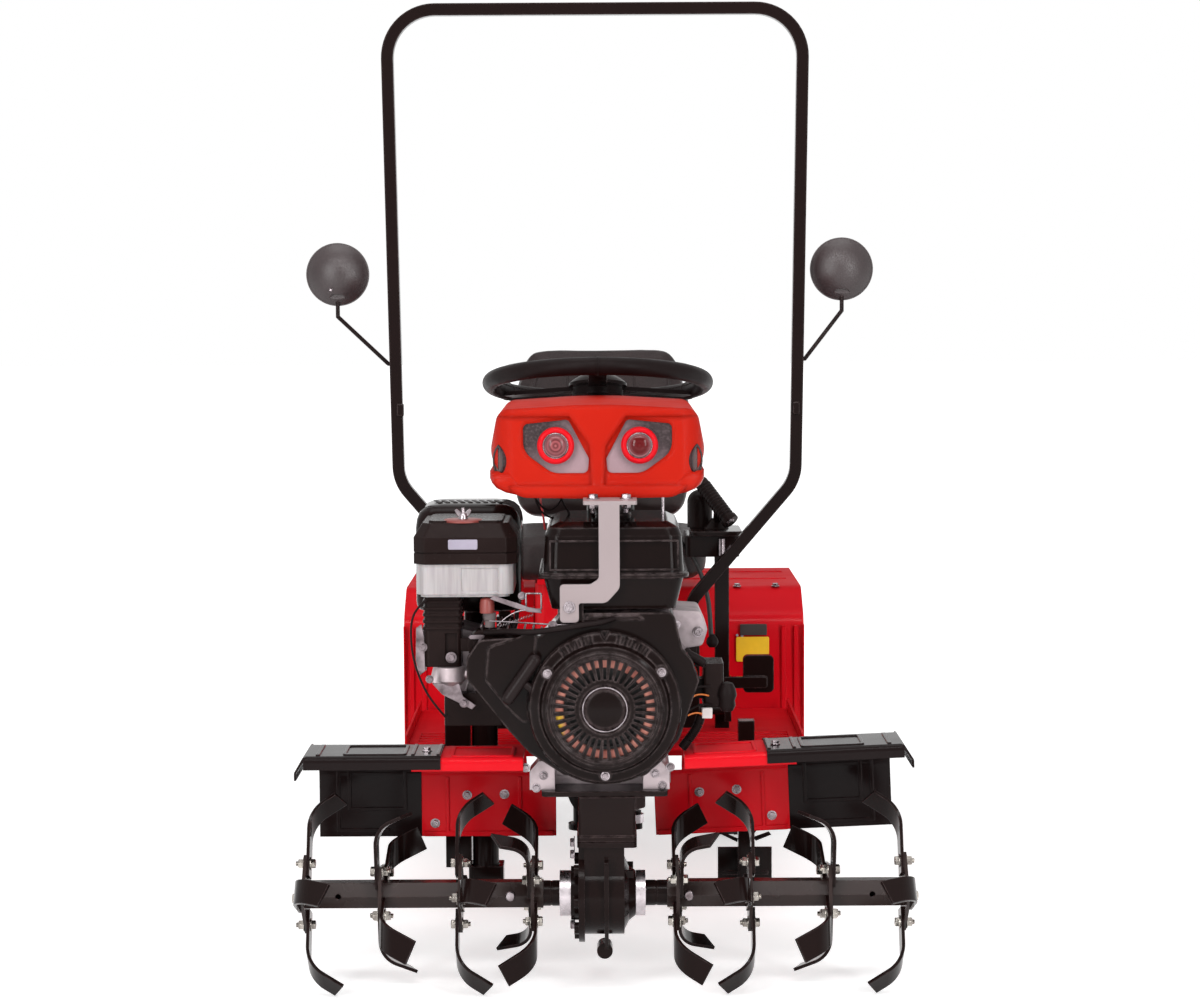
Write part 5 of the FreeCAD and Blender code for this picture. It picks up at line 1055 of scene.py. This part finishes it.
def seat_piping():
    inset = [(-128, 500, z) for z in range(690, 921, 33)] + [(x, 500, 930) for x in range(-110, 111, 22)]
    inset += [(128, 500, z) for z in range(920, 689, -33)]
    welt("backrest_piping", backrest, [(x - 3, d, z) for x, d, z in inset], -FRONT, 3.0)
    for side, x in (("left", -66), ("right", 60)):
        welt(f"backrest_seam_{side}", backrest, [(x, 500, z) for z in range(700, 931, 23)], -FRONT, 2.0)


seat_piping()


# ---- steering wheel: stitched seam and the rim cover's joints ---------------------------------------
RIM_TILT = 11
STITCHES = 120
RIM_RADIUS = 0.0145      # half the thickness of the rim's cover


def steering_trim():
    low, high = (Vector(v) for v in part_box("steering_rim"))
    middle = (low + high) / 2
    tilt = math.radians(RIM_TILT)
    normal = Vector((0, math.sin(tilt), math.cos(tilt)))
    aside = Vector((0, math.cos(tilt), -math.sin(tilt)))
    ring = (high.x - low.x) / 2 - RIM_RADIUS
    stitch = Batch("rim_stitches", RUBBER, "steering_wheel")
    for i in range(STITCHES):
        a = 2 * math.pi * i / STITCHES
        out = RIGHT * math.cos(a) + aside * math.sin(a)
        spot = middle + out * (ring - 0.0125) + normal * 0.0068
        stitch.lathe(spot, out.cross(normal), [(0, -3), (1.3, -2.4), (1.7, 0), (1.3, 2.4), (0, 3)], 8)
    stitch.build()
    bands = Batch("rim_joints", RUBBER, "steering_wheel")
    for a in (math.radians(-90), math.radians(30), math.radians(150)):
        out = RIGHT * math.cos(a) + aside * math.sin(a)
        bands.lathe(middle + out * ring, out.cross(normal),
                    [(14.4, -1.2), (15.3, -0.7), (15.3, 0.7), (14.4, 1.2)], 36)
    bands.build()


steering_trim()


# ---- small parts on hoop, mirrors, lever and skids ---------------------------------------------------
GRIP_RIB_COUNT = 12


def small_trim():
    tabs = Batch("hoop_tabs", MATS["black_paint"])
    for x in (-341, 326):
        tabs.plate(rounded(12, 22, 3), at(x, 492, 867), RIGHT, UP, 6, 1.4)
    for points in ([(181, 196), (186, 198), (214, 186), (213, 180)],
                   [(239, 188), (243, 182), (268, 192), (264, 197)]):
        tabs.plate(points, at(0, 238, 0), RIGHT, UP, 4, 1)
    tabs.build()
    caps = Batch("grip_end", BRIGHT)
    caps.lathe(at(219, 591, 667), (at(216, 598, 671) - at(172, 640, 729)).normalized(),
               [(0, 0), (7.5, 0), (7.5, 1.5), (6, 3.5), (0, 4)], 28)
    caps.lathe(at(205, 597, 607), UP, [(0, 0), (6, 0), (6, 29), (0, 29)], 24)
    caps.lathe(at(-455, 489, 1069), FRONT, [(0, 0), (2.4, 0), (2.0, 1.4), (0, 1.8)], 14)
    caps.build()
    ribs = Batch("grip_ribs", RUBBER)
    start, end = at(216, 600, 671), at(172, 640, 729)
    way = (end - start).normalized()
    for i in range(GRIP_RIB_COUNT):
        ribs.lathe(start.lerp(end, 0.08 + 0.075 * i), way,
                   [(12.3, -2), (13.6, -1.2), (13.6, 1.2), (12.3, 2)], 28)
    ribs.build()
    spots = Batch("fender_light_spots", LABEL)
    for x, z in ((247, 426), (256, 425)):
        spots.lathe(at(x, 905, z), FRONT, [(0, 0), (2.6, 0), (2.2, 0.5), (0, 0.6)], 16)
    spots.build()


small_trim()
